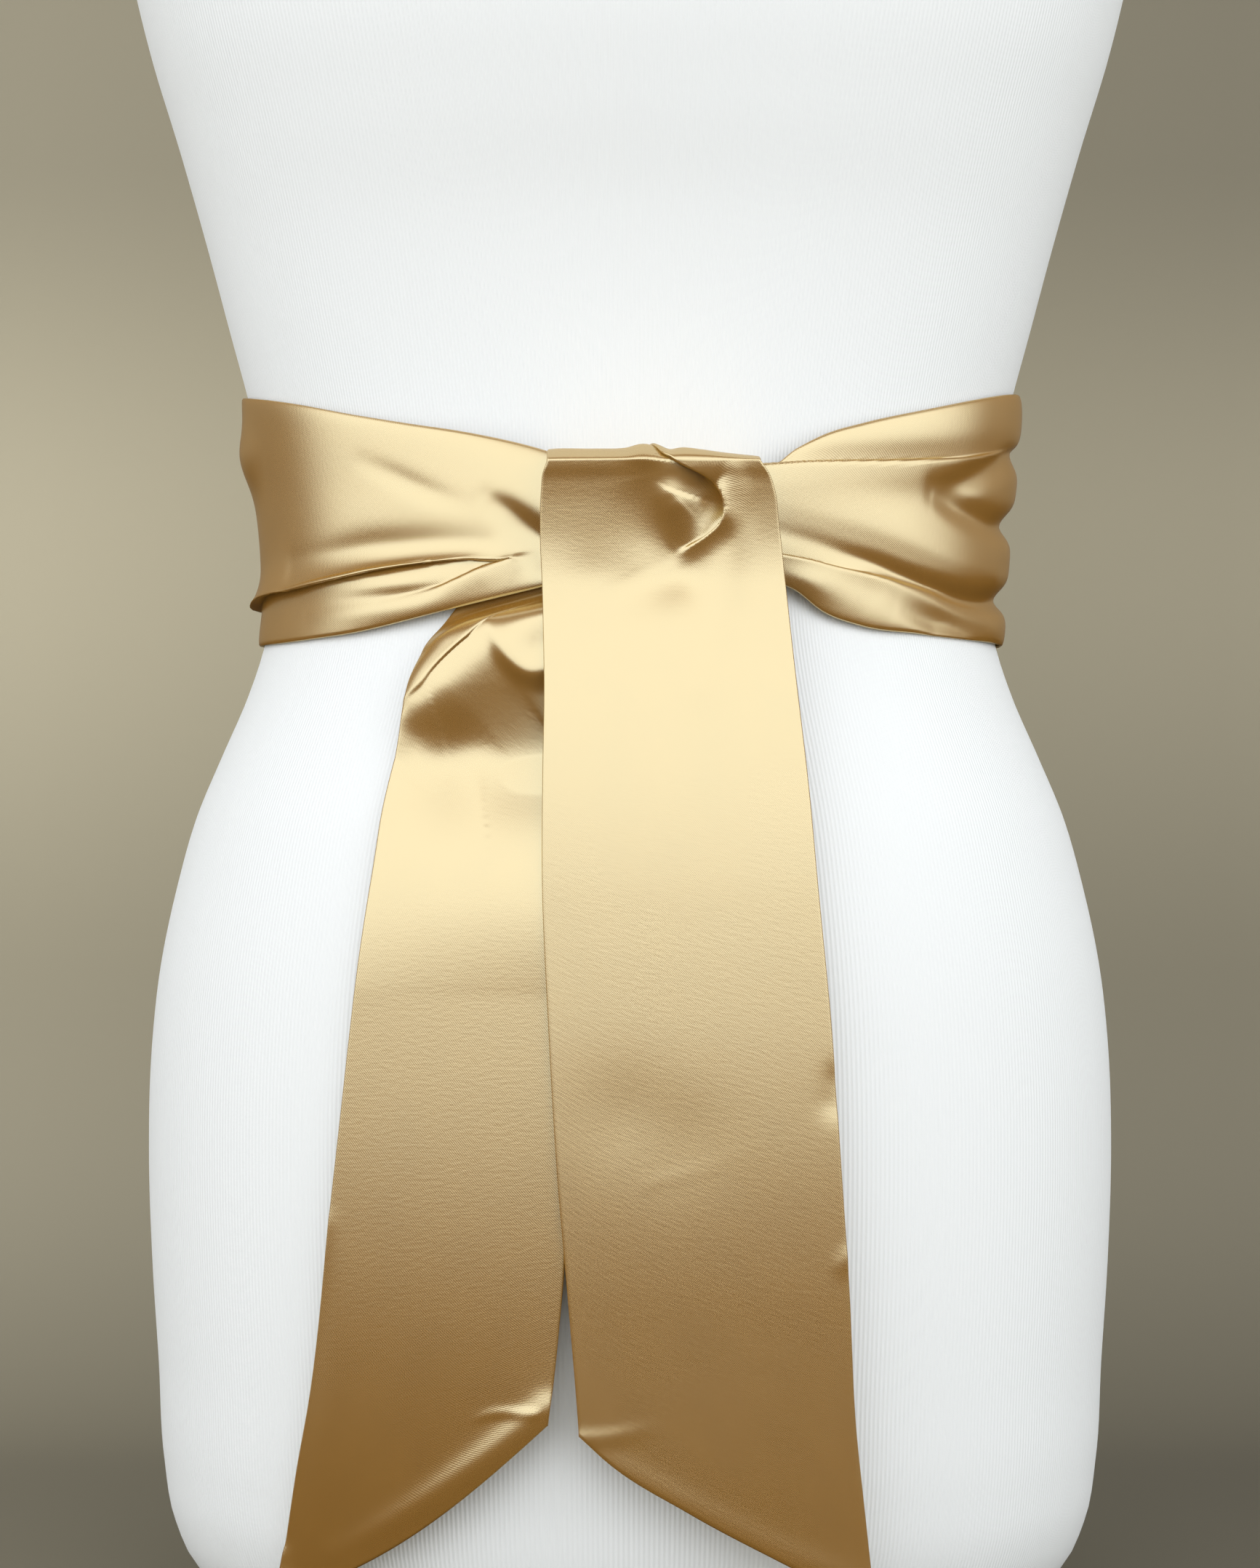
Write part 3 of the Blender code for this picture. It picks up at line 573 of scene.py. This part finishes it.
# %% The under tail's fan and folds
HANG_FROM = 231.0  # below this height the tail hangs free of the form
HANG_LEAN = 0.022  # how much it still comes forward there, for each millimetre down
HANG_CURL = 0.0000018  # and how quickly it turns back again
UNDER_LIFT, UNDER_LEAST = 5.0, 1.4  # how far it stands off the form, and the least in a hollow
UNDER_TUCK, UNDER_BEHIND = 1.7, 2.5  # off the form behind the wrap's edge, and how far behind the wrap
TUCK_RUN = 13.0  # below the wrap's edge the tail comes out over this length
UNDER_HEM_BOW, UNDER_HEM_FROM = 6.5, 0.8  # the slanted end bows down, from this share of the rows
UNDER_ROWS_FAN, UNDER_ROWS_HANG, UNDER_COLUMNS = 130, 170, 84
UNDER_END_EDGE = 0.002  # the row just inside each end, as a share of the rows
Fan = namedtuple("Fan", "outer_x outer_z inner_x inner_z")
UNDER_TAIL = [
    Fan(-14, 368, -17, 340),
    Fan(-36, 367, -15, 328),
    Fan(-53, 359.5, -13, 316),
    Fan(-63, 346.5, -11.5, 306),
    Fan(-68.5, 332.5, -10.5, 298),
    Fan(-73.6, 316, -10, 289),
    Fan(-79.8, 294, -10, 278),
    Fan(-83, 272, -11, 264),
    Fan(-88.4, 236, -13.6, 236),
    Fan(-95.5, 175, -17.8, 178),
    Fan(-103.5, 108, -22.2, 128),
    Fan(-110.4, 70, -24.0, 110),
    Fan(-117, 28, -26.0, 94),
]
UNDER_SOFTS = [
    # from the knot to the pinch at its outer edge the cloth stands off the hollow of the waist
    Soft(((-80, 310.5), (-70, 320), (-60, 330.5), (-45.5, 344), (-27, 353)),
         (1.5, 5.2, 8.8, 11.2, 11.6), (9, 9, 11, 13, 14), (11, 13, 17, 22, 26)),
    # the ridge above the crease, which ends at the pinch
    Soft(((-71, 325), (-68, 330.4), (-59.4, 341.4), (-46.8, 353)), (0.6, 1.2, 0.4), (3, 3.4, 3.6), 3),
    # the lobe that hangs by the knot
    Soft(((-41, 345), (-37, 336), (-31, 331.5), (-22, 333)), (0.8, 2, 2.2), 5.5, 2.6),
    # the long hollow above the belly, deepest under the knot, and the dimple below the pinch
    Soft(((-70, 302), (-59, 301), (-49, 304), (-38, 303.5), (-16, 304)),
         (-1.4, -2.8, -2.8, -4, -4.2), (12, 14, 14, 14), (20, 22, 22, 22)),
    Soft(((-68, 313), (-60, 312)), (-1.4, -1), (6.5, 8), (9, 10)),
    # the outer edge curls a little, the tip is turned, and the seam of the slanted hem pulls a low ridge
    Soft(((-98, 156), (-103, 120), (-110, 74), (-115, 42)),
         (0.2, -0.9, -1.1, -0.9), (3, 5, 5, 5), (3, 5, 5, 5)),
    Soft(((-116, 44), (-115, 37)), (1.4, 1.2), 3, 3),
    Soft(((-27, 99), (-50, 80), (-74, 62), (-96, 47)), (1.1, 1, 0.6, 0.2), (6, 6, 5, 4), (4.5, 4.5, 4, 4)),
    Soft(((-30, 97.5), (-42, 97.5), (-50, 95)), (0.35, 0.3, 0.05), 1.6, 1.6),
]
UNDER_PLEATS = [
    Pleat(((-70.5, 324), (-64.8, 328), (-60.8, 332.5), (-56, 337.2), (-48.4, 343.6), (-40.7, 348.4),
           (-27, 356)),
          (0.3, 0.9, 0.7), (0.1, 0.3, 0.3), (1.4, 1.7, 1.7), (0.2, 0.9, 0.9), (3.5, 4.5, 5), (4, 5, 5)),
]


def below_the_wrap(across, up):
    """0 where the under tail is tucked behind the wrap's lower edge, rising to 1 below it."""
    edge = read(WRAP, "turn", "bottom", 360 + np.degrees(across / TURN_MM))
    return step_between(edge - up, 0, TUCK_RUN)


def under_tail_surface(across, up):
    """The belly that the under tail lies on, and the free hang below it."""
    hanging = np.maximum(HANG_FROM - up, 0)
    depth = belly_depth(across, np.maximum(up, HANG_FROM)) + HANG_LEAN * hanging - HANG_CURL * hanging**3
    wrap_lift = read(WRAP, "turn", "lift", 360 + np.degrees(across / TURN_MM))
    tuck = np.maximum(UNDER_TUCK, wrap_lift - UNDER_BEHIND)
    lift = tuck + (UNDER_LIFT - tuck) * below_the_wrap(across, up)
    return np.stack([across, -(depth + lift), up], -1)


def under_tail_points(columns, rows):
    """The under tail, from its gathered start in the knot to its slanted end."""
    share, place = np.meshgrid(columns, rows)
    stations = np.linspace(0, 1, len(UNDER_TAIL))
    outer_x, outer_z, inner_x, inner_z = (
        smooth(place, stations, [getattr(fan, name) for fan in UNDER_TAIL]) for name in Fan._fields
    )
    near_hem = np.clip((place - UNDER_HEM_FROM) / (1 - UNDER_HEM_FROM), 0, 1)
    bow = UNDER_HEM_BOW * np.sin(np.pi * share) * near_hem**2
    across = outer_x + (inner_x - outer_x) * share
    up = outer_z + (inner_z - outer_z) * share - bow
    across, up, off = folded(across, up, UNDER_SOFTS, UNDER_PLEATS)
    off = np.maximum(off, UNDER_LEAST - UNDER_LIFT) * below_the_wrap(across, up)
    return laid(across, up, off, under_tail_surface)


fan_rows, hang_rows = np.linspace(0, 0.5, UNDER_ROWS_FAN), np.linspace(0.5, 1, UNDER_ROWS_HANG)
under_rows = with_edges(np.concatenate([fan_rows[:-1], hang_rows]), UNDER_END_EDGE)
under_columns = with_edges(np.linspace(0, 1, UNDER_COLUMNS), SIDE_EDGE)
points = under_tail_points(under_columns, under_rows[::-1])
along_under = lengths_along(points)
flat_across, flat_along = np.meshgrid(under_columns * SASH_WIDTH, along_under)
sash_under_tail = sheet("satin_under_tail", points, flat_across, flat_along)
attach(sash_under_tail, "root")
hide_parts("sash_under_tail")
print("the under tail is", round(along_under[-1]), "mm long")

# %% [markdown]
# ## The loop in the knot
#
# Behind the front tail the same end goes down in front of the band, round below it and up behind it.
# Little of this shows, and only from the side, but a knot with a hole in it would look wrong. Part of the
# sash's width is folded away inside the knot, and four soft gathers run along the part that is built.

# %% The loop's gathers
LOOP_LEFT, LOOP_RIGHT = -13.0, 37.0
LOOP_FRONT = 110.0
LOOP_TOP, LOOP_BOTTOM_TURN, LOOP_BACK_TOP = 387.0, 367.0, 384.4
LOOP_DROP = 7.5
GATHERS = 4
GATHER_DEPTH = 1.1
LOOP_ROWS, LOOP_COLUMNS, LOOP_END_EDGE = 70, 80, 0.004


def knot_points(columns, rows):
    """The knot's loop: down its front, round below the wrap's ends, and up behind them."""
    across, place = np.meshgrid(LOOP_LEFT + (LOOP_RIGHT - LOOP_LEFT) * columns, rows)
    front_run = LOOP_TOP - LOOP_BOTTOM_TURN
    turn_run = math.pi * LOOP_DROP
    back_run = LOOP_BACK_TOP - LOOP_BOTTOM_TURN
    run = place * (front_run + turn_run + back_run)
    angle = np.clip((run - front_run) / LOOP_DROP, 0, math.pi)
    back_rise = np.maximum(run - front_run - turn_run, 0)
    height = LOOP_TOP - np.minimum(run, front_run) - LOOP_DROP * np.sin(angle) + back_rise
    behind = belly_depth(across, LOOP_BOTTOM_TURN + back_rise) + ROLL_BACK_LIFT
    gather = GATHER_DEPTH * np.cos(2 * math.pi * GATHERS * columns)[None, :] * (1 + np.cos(angle)) / 2
    front = LOOP_FRONT - (across - TAIL_MIDDLE) ** 2 / (2 * TAIL_ARCH_RADIUS) + gather
    depth = behind + (front - behind) * (1 + np.cos(angle)) / 2
    return np.stack([across, -depth, height], -1)


loop_rows = with_edges(np.linspace(0, 1, LOOP_ROWS), LOOP_END_EDGE)
loop_columns = with_edges(np.linspace(0, 1, LOOP_COLUMNS), SIDE_EDGE)
points = knot_points(loop_columns, loop_rows[::-1])
along_loop = lengths_along(points)
loop_wide = float(np.linalg.norm(np.diff(points, axis=1), axis=-1).sum(1).mean())
flat_across, flat_along = np.meshgrid(loop_columns * loop_wide, along_loop)
sash_knot = sheet("satin_knot", points, flat_across, flat_along)
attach(sash_knot, "root")
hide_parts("sash_knot")
print("the loop is", round(along_loop[-1]), "mm long and", round(loop_wide), "mm wide")

# %% [markdown]
# ## The dress form
#
# The form is a foam torso in a cover of white rib jersey. Its solid has flat facets, which would show in
# the outline, so it is replaced by a finer body through the same rings: a grid rolled round the form, with
# its two side edges merged at the back and its top and bottom filled. The UV map counts round the form, so
# the ribs keep their number and close up at the waist, as a knitted tube does.

# %% A finer dress form
FORM_COLUMNS, FORM_STEP, FORM_LEAST_STEP = 144, 5.0, 1.2
MERGE_WITHIN = 0.00001
EDGE_ANGLE = 40  # where the form turns by more than this, in degrees, its edge stays crisp
bpy.ops.object.select_all(action="DESELECT")
fine_heights = np.unique(np.concatenate(
    [[ring.height for ring in FORM], np.arange(FORM[0].height, FORM[-1].height, FORM_STEP)]
).round(1))
fine_heights = fine_heights[np.concatenate([[True], np.diff(fine_heights) > FORM_LEAST_STEP])]
fine_heights[-1] = FORM[-1].height
bpy.ops.mesh.primitive_grid_add(
    x_subdivisions=FORM_COLUMNS, y_subdivisions=len(fine_heights) - 1, size=2, calc_uvs=True
)
jersey_form = bpy.context.object
jersey_form.name = jersey_form.data.name = "jersey_form"
for vertex in jersey_form.data.vertices:
    turn = math.pi * vertex.co.x
    height = fine_heights[round((vertex.co.y + 1) / 2 * (len(fine_heights) - 1))]
    vertex.co = form_point(np.array(turn), np.array(height)) * MM
bpy.ops.object.mode_set(mode="EDIT")
bpy.ops.mesh.select_all(action="SELECT")
bpy.ops.mesh.remove_doubles(threshold=MERGE_WITHIN)
bpy.ops.mesh.select_all(action="DESELECT")
bpy.ops.mesh.select_non_manifold()
bpy.ops.mesh.edge_face_add()
bpy.ops.mesh.select_all(action="SELECT")
bpy.ops.mesh.normals_make_consistent(inside=False)
bpy.ops.object.mode_set(mode="OBJECT")
bpy.ops.object.shade_smooth_by_angle(angle=math.radians(EDGE_ANGLE))
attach(jersey_form, "root")
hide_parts("dress_form")
print("the form has", len(jersey_form.data.polygons), "faces")

# %% [markdown]
# ## Satin
#
# Satin is woven so that long threads float on its face. They act like a soft mirror: a fold is pale where
# it turns to the light and deep brown where it turns away, with a quick change between. A smooth surface
# that is not metal does that here: a high index of refraction makes its reflection strong, a pale yellow
# tint colours it, and an orange brown lies under it. The fine twill of the threads and the small
# unevenness of the cloth are bump, too small to model, and both read the cloth's own UV map in metres.

# %% A node group for woven threads
def add_socket(group, name, kind, into, value=None):
    """One named input or output of a node group."""
    socket = group.interface.new_socket(name, in_out="INPUT" if into else "OUTPUT", socket_type=kind)
    if value is not None:
        socket.default_value = value


def wire(tree, source, target):
    """Joins an output socket to an input socket."""
    tree.links.new(source, target)


def threads_group():
    """Height and shade of woven threads that run at a slant over cloth whose UV map is in metres."""
    group = bpy.data.node_groups.new("woven_threads", "ShaderNodeTree")
    add_socket(group, "Cloth", "NodeSocketVector", True)
    add_socket(group, "Twill scale", "NodeSocketFloat", True, 740.0)
    add_socket(group, "Grain per metre", "NodeSocketFloat", True, 900.0)
    add_socket(group, "Height", "NodeSocketFloat", False)
    add_socket(group, "Shade", "NodeSocketFloat", False)
    nodes = group.nodes
    into, out = nodes.new("NodeGroupInput"), nodes.new("NodeGroupOutput")
    twill = nodes.new("ShaderNodeTexWave")
    twill.bands_direction = "DIAGONAL"
    twill.inputs["Distortion"].default_value = 1.5
    streaks = nodes.new("ShaderNodeVectorMath")
    streaks.operation = "MULTIPLY"
    streaks.inputs[1].default_value = (0.3, 1, 1)
    grain = nodes.new("ShaderNodeTexNoise")
    grain.inputs["Detail"].default_value = 3.0
    cloudy = nodes.new("ShaderNodeTexNoise")
    cloudy.inputs["Scale"].default_value = 60.0
    mix = nodes.new("ShaderNodeMix")
    mix.inputs["Factor"].default_value = 0.7
    wire(group, into.outputs["Cloth"], twill.inputs["Vector"])
    wire(group, into.outputs["Cloth"], streaks.inputs[0])
    wire(group, streaks.outputs["Vector"], grain.inputs["Vector"])
    wire(group, into.outputs["Cloth"], cloudy.inputs["Vector"])
    wire(group, into.outputs["Twill scale"], twill.inputs["Scale"])
    wire(group, into.outputs["Grain per metre"], grain.inputs["Scale"])
    wire(group, twill.outputs["Fac"], mix.inputs["A"])
    wire(group, grain.outputs["Fac"], mix.inputs["B"])
    wire(group, mix.outputs["Result"], out.inputs["Height"])
    wire(group, cloudy.outputs["Fac"], out.inputs["Shade"])
    return group


threads = threads_group()
print("group:", threads.name, [item.name for item in threads.interface.items_tree])

# %% [markdown]
# The satin itself mixes two browns by the cloudy shade of the threads, which keeps a large plain stretch
# from looking like paint. The numbers that are the same all over, such as the roughness, are set on the
# shader.

# %% The satin's finish
def satin_material():
    """A soft pale reflection over an orange brown, with the threads as bump."""
    material = bpy.data.materials.new("gold_satin")
    material.use_nodes = True
    tree = material.node_tree
    shader = tree.nodes["Principled BSDF"]
    shader.inputs["Roughness"].default_value = 0.25
    shader.inputs["IOR"].default_value = 2.6
    shader.inputs["Specular IOR Level"].default_value = 1.0
    shader.inputs["Specular Tint"].default_value = (1.0, 0.985, 0.68, 1)
    uv = tree.nodes.new("ShaderNodeUVMap")
    uv.uv_map = "UVMap"
    weave = tree.nodes.new("ShaderNodeGroup")
    weave.node_tree = threads
    colour = tree.nodes.new("ShaderNodeMix")
    colour.data_type = "RGBA"
    colour.inputs["A"].default_value = (0.32, 0.143, 0.018, 1)
    colour.inputs["B"].default_value = (0.365, 0.168, 0.023, 1)
    bump = tree.nodes.new("ShaderNodeBump")
    bump.inputs["Strength"].default_value = 0.3
    bump.inputs["Distance"].default_value = 0.00012
    wire(tree, uv.outputs["UV"], weave.inputs["Cloth"])
    wire(tree, weave.outputs["Shade"], colour.inputs["Factor"])
    wire(tree, weave.outputs["Height"], bump.inputs["Height"])
    wire(tree, colour.outputs["Result"], shader.inputs["Base Color"])
    wire(tree, bump.outputs["Normal"], shader.inputs["Normal"])
    return material


satin = satin_material()
for piece in (sash_wrap, sash_front_tail, sash_under_tail, sash_knot):
    piece.data.materials.clear()
    piece.data.materials.append(satin)
print("satin on four sheets")

# %% [markdown]
# ## Jersey
#
# The cover of the form is a matt white knit with fine upright ribs, a little over a millimetre apart. The
# ribs are a wave over the UV map, which counts round the form, and a fine noise gives the yarn its fuzz.
# Both are bump.

# %% The jersey's finish
RIBS_ROUND = 620


def jersey_material():
    """Matt white knit with upright ribs and a little fuzz."""
    material = bpy.data.materials.new("white_rib_jersey")
    material.use_nodes = True
    tree = material.node_tree
    shader = tree.nodes["Principled BSDF"]
    shader.inputs["Base Color"].default_value = (0.80, 0.83, 0.845, 1)
    shader.inputs["Roughness"].default_value = 0.9
    shader.inputs["Sheen Weight"].default_value = 0.15
    uv = tree.nodes.new("ShaderNodeUVMap")
    uv.uv_map = "UVMap"
    ribs = tree.nodes.new("ShaderNodeTexWave")
    ribs.bands_direction = "X"
    ribs.inputs["Scale"].default_value = RIBS_ROUND / 20 * 2 * math.pi
    fuzz = tree.nodes.new("ShaderNodeTexNoise")
    fuzz.inputs["Scale"].default_value = 900.0
    place = tree.nodes.new("ShaderNodeTexCoord")
    height = tree.nodes.new("ShaderNodeMix")
    height.inputs["Factor"].default_value = 0.3
    bump = tree.nodes.new("ShaderNodeBump")
    bump.inputs["Strength"].default_value = 0.6
    bump.inputs["Distance"].default_value = 0.0003
    wire(tree, uv.outputs["UV"], ribs.inputs["Vector"])
    wire(tree, place.outputs["Object"], fuzz.inputs["Vector"])
    wire(tree, ribs.outputs["Fac"], height.inputs["A"])
    wire(tree, fuzz.outputs["Fac"], height.inputs["B"])
    wire(tree, height.outputs["Result"], bump.inputs["Height"])
    wire(tree, bump.outputs["Normal"], shader.inputs["Normal"])
    return material


jersey_form.data.materials.clear()
jersey_form.data.materials.append(jersey_material())
print("jersey with", RIBS_ROUND, "ribs round")

# %% [markdown]
# ## Floor and backdrop
#
# The form stands on a sheet of plain paper that runs back and then curves up behind it, as in a studio, so
# no line shows between floor and wall. Its own UV map counts metres along the paper and across it. Two
# ramps on that map paint the room's light and shade into the paper's colour: painted shade makes the wall
# darker to the right, towards its foot and again towards its top. The paper is seen only from its front,
# so that views from behind are open, and a pale floor lies under it.

# %% Floor and backdrop
PAPER_WIDE, PAPER_FRONT, PAPER_WALL, PAPER_TOP, PAPER_CURVE = 1.6, -0.35, 0.5, 1.5, 0.2
PAPER_LENGTH = PAPER_WALL - PAPER_FRONT + PAPER_TOP - (2 - math.pi / 2) * PAPER_CURVE
# painted light and shade: the paper's colour is scaled by these shades along its run, darker at the wall's
# foot and top, palest between
PaintedLightAndShade = namedtuple("PaintedLightAndShade", "run shade")
PAPER_PAINTED_LIGHT_AND_SHADE = [
    PaintedLightAndShade(0.457, 0.45), PaintedLightAndShade(0.64, 0.41), PaintedLightAndShade(0.82, 0.52),
    PaintedLightAndShade(1.0, 0.74), PaintedLightAndShade(1.19, 0.97), PaintedLightAndShade(1.37, 0.6),
]
# painted shade: the paper's colour darkens towards its right, over this reach either side of its middle
PAPER_RIGHT_PAINTED_SHADE, PAPER_PAINTED_SHADE_REACH = 0.66, 0.3
FLOOR_SIZE, FLOOR_BELOW = 8, 0.001


def paper_material():
    """Plain paper with painted light and shade along its length and painted shade to the right, and clear
    from behind.
    """
    material = bpy.data.materials.new("paper_painted_light_and_shade")
    material.use_nodes = True
    tree = material.node_tree
    shader = tree.nodes["Principled BSDF"]
    shader.inputs["Roughness"].default_value = 0.85
    uv = tree.nodes.new("ShaderNodeUVMap")
    uv.uv_map = "UVMap"
    split = tree.nodes.new("ShaderNodeSeparateXYZ")
    wire(tree, uv.outputs["UV"], split.inputs["Vector"])
    run = tree.nodes.new("ShaderNodeMapRange")
    run.inputs["From Max"].default_value = PAPER_LENGTH
    wire(tree, split.outputs["Y"], run.inputs["Value"])
    # painted light and shade along the paper's run
    painted_light_ramp = tree.nodes.new("ShaderNodeValToRGB")
    painted_light_ramp.color_ramp.interpolation = "CARDINAL"
    stops = painted_light_ramp.color_ramp.elements
    while len(stops) < len(PAPER_PAINTED_LIGHT_AND_SHADE):
        stops.new(0.5)
    for stop, tone in zip(stops, PAPER_PAINTED_LIGHT_AND_SHADE):
        stop.position = tone.run / PAPER_LENGTH
        stop.color = (tone.shade, tone.shade, tone.shade, 1)
    wire(tree, run.outputs["Result"], painted_light_ramp.inputs["Fac"])
    # painted shade towards the paper's right
    painted_right_shade = tree.nodes.new("ShaderNodeMapRange")
    painted_right_shade.inputs["From Min"].default_value = PAPER_WIDE / 2 - PAPER_PAINTED_SHADE_REACH
    painted_right_shade.inputs["From Max"].default_value = PAPER_WIDE / 2 + PAPER_PAINTED_SHADE_REACH
    painted_right_shade.inputs["To Min"].default_value = 1.0
    painted_right_shade.inputs["To Max"].default_value = PAPER_RIGHT_PAINTED_SHADE
    wire(tree, split.outputs["X"], painted_right_shade.inputs["Value"])
    shade = tree.nodes.new("ShaderNodeMix")
    shade.data_type, shade.blend_type = "RGBA", "MULTIPLY"
    shade.inputs["Factor"].default_value = 1.0
    shade.inputs["A"].default_value = (0.50, 0.455, 0.331, 1)
    wire(tree, painted_light_ramp.outputs["Color"], shade.inputs["B"])
    both = tree.nodes.new("ShaderNodeMix")
    both.data_type, both.blend_type = "RGBA", "MULTIPLY"
    both.inputs["Factor"].default_value = 1.0
    wire(tree, shade.outputs["Result"], both.inputs["A"])
    wire(tree, painted_right_shade.outputs["Result"], both.inputs["B"])
    wire(tree, both.outputs["Result"], shader.inputs["Base Color"])
    clear = tree.nodes.new("ShaderNodeBsdfTransparent")
    mix = tree.nodes.new("ShaderNodeMixShader")
    side = tree.nodes.new("ShaderNodeNewGeometry")
    wire(tree, side.outputs["Backfacing"], mix.inputs["Fac"])
    wire(tree, shader.outputs["BSDF"], mix.inputs[1])
    wire(tree, clear.outputs["BSDF"], mix.inputs[2])
    wire(tree, mix.outputs["Shader"], tree.nodes["Material Output"].inputs["Surface"])
    return material


def paper_place(run):
    """Where the paper is after a run from its front edge: y and z in metres."""
    flat = PAPER_WALL - PAPER_CURVE - PAPER_FRONT
    angle = min(max((run - flat) / PAPER_CURVE, 0), math.pi / 2)
    y = PAPER_FRONT + min(run, flat) + PAPER_CURVE * math.sin(angle)
    z = PAPER_CURVE * (1 - math.cos(angle)) + max(run - flat - PAPER_CURVE * math.pi / 2, 0)
    return y, z


bpy.ops.object.select_all(action="DESELECT")
bpy.ops.mesh.primitive_plane_add(size=FLOOR_SIZE, location=(0, 0, -FLOOR_BELOW))
floor = bpy.context.object
floor.name = "floor"
pale = bpy.data.materials.new("pale_floor")
pale.use_nodes = True
pale_shader = pale.node_tree.nodes["Principled BSDF"]
pale_shader.inputs["Base Color"].default_value = (0.60, 0.57, 0.50, 1)
pale_shader.inputs["Roughness"].default_value = 0.8
floor.data.materials.append(pale)
floor.visible_glossy = False
bpy.ops.object.select_all(action="DESELECT")
bpy.ops.mesh.primitive_grid_add(x_subdivisions=2, y_subdivisions=96, size=1, calc_uvs=True)
backdrop = bpy.context.object
backdrop.name = "backdrop"
for corner in backdrop.data.uv_layers[0].data:
    corner.uv = (corner.uv.x * PAPER_WIDE, corner.uv.y * PAPER_LENGTH)
for vertex in backdrop.data.vertices:
    y, z = paper_place((vertex.co.y + 0.5) * PAPER_LENGTH)
    vertex.co = (vertex.co.x * PAPER_WIDE, y, z)
bpy.ops.object.shade_smooth()
backdrop.data.materials.append(paper_material())
backdrop.visible_glossy = False
print("paper", PAPER_WIDE, "m wide, its wall", PAPER_WALL, "m behind the form's middle")

# %% [markdown]
# ## Light
#
# The light is soft and comes from in front: a bright room whose lower edge is just below eye height, dark
# behind and below. That edge is what makes satin change from pale to brown where it tips over. Right
# overhead the room is dim, as it is under a ceiling, so cloth that lies almost flat isn't the palest.
# Three panels, one above the camera and one at each side, light the white cover to its edges. They are
# left out of reflections, where they would show as bright spots on the satin.

# %% Lights and world
Panel = namedtuple("Panel", "name place wide tall power")
PANELS = [
    Panel("panel_above", (0.0, -1.7, 1.9), 1.6, 1.0, 8),
    Panel("panel_left", (-1.5, -0.3, 0.5), 0.8, 1.2, 2.5),
    Panel("panel_right", (1.5, -0.3, 0.5), 0.8, 1.2, 2.5),
]
LIGHT_TARGET = Vector((0, 0, 0.32))
for panel in PANELS:
    bpy.ops.object.light_add(type="AREA", location=panel.place)
    lamp = bpy.context.object
    lamp.name = panel.name
    lamp.data.shape = "RECTANGLE"
    lamp.data.size, lamp.data.size_y = panel.wide, panel.tall
    lamp.data.energy = panel.power
    lamp.rotation_euler = (LIGHT_TARGET - Vector(panel.place)).to_track_quat("-Z", "Y").to_euler()
    lamp.visible_camera = False
    lamp.visible_glossy = False
    print(panel.name, panel.power, "W")

SKY_BRIGHT, SKY_DARK = 1.95, 0.012
FRONT_EDGE = (-0.27, 0.14)  # the room brightens between these parts of the way from side to front
LOWER_EDGE = (-0.15, 0.08)  # and between these heights of the view, where 0 is level and 1 is overhead
OVERHEAD_EDGE = (0.55, 0.9)  # between these heights it dims again
ZENITH_DIMMED = 0.9  # the share of its brightness that the highest part of the room loses
BEHIND = 0.12  # the brightness behind the form, as a share of that in front


def ramp(tree, value, start, end):
    """0 below start, 1 above end and a soft step between them."""
    node = tree.nodes.new("ShaderNodeMapRange")
    node.interpolation_type = "SMOOTHSTEP"
    node.inputs["From Min"].default_value = start
    node.inputs["From Max"].default_value = end
    wire(tree, value, node.inputs["Value"])
    return node.outputs["Result"]


def math_node(tree, operation, first, second):
    """A sum or a product of two values, each a number or another node's output."""
    node = tree.nodes.new("ShaderNodeMath")
    node.operation = operation
    for socket, value in zip(node.inputs, (first, second)):
        if isinstance(value, (int, float)):
            socket.default_value = value
        else:
            wire(tree, value, socket)
    return node.outputs["Value"]


world = bpy.data.worlds.new("studio")
bpy.context.scene.world = world
world.use_nodes = True
tree = world.node_tree
background = tree.nodes["Background"]
background.inputs["Color"].default_value = (1.0, 1.0, 1.0, 1)
direction = tree.nodes.new("ShaderNodeTexCoord")
split = tree.nodes.new("ShaderNodeSeparateXYZ")
wire(tree, direction.outputs["Generated"], split.inputs["Vector"])
in_front = ramp(tree, math_node(tree, "MULTIPLY", split.outputs["Y"], -1.0), *FRONT_EDGE)
in_front.node.inputs["To Min"].default_value = BEHIND
above = ramp(tree, split.outputs["Z"], *LOWER_EDGE)
overhead = ramp(tree, split.outputs["Z"], *OVERHEAD_EDGE)
dimmed = math_node(tree, "SUBTRACT", 1.0, math_node(tree, "MULTIPLY", overhead, ZENITH_DIMMED))
bright = math_node(tree, "MULTIPLY", math_node(tree, "MULTIPLY", in_front, above), dimmed)
strength = math_node(tree, "MULTIPLY_ADD", bright, SKY_BRIGHT - SKY_DARK)
strength.node.inputs[2].default_value = SKY_DARK
wire(tree, strength, background.inputs["Strength"])
bpy.context.scene.view_settings.view_transform = "Standard"
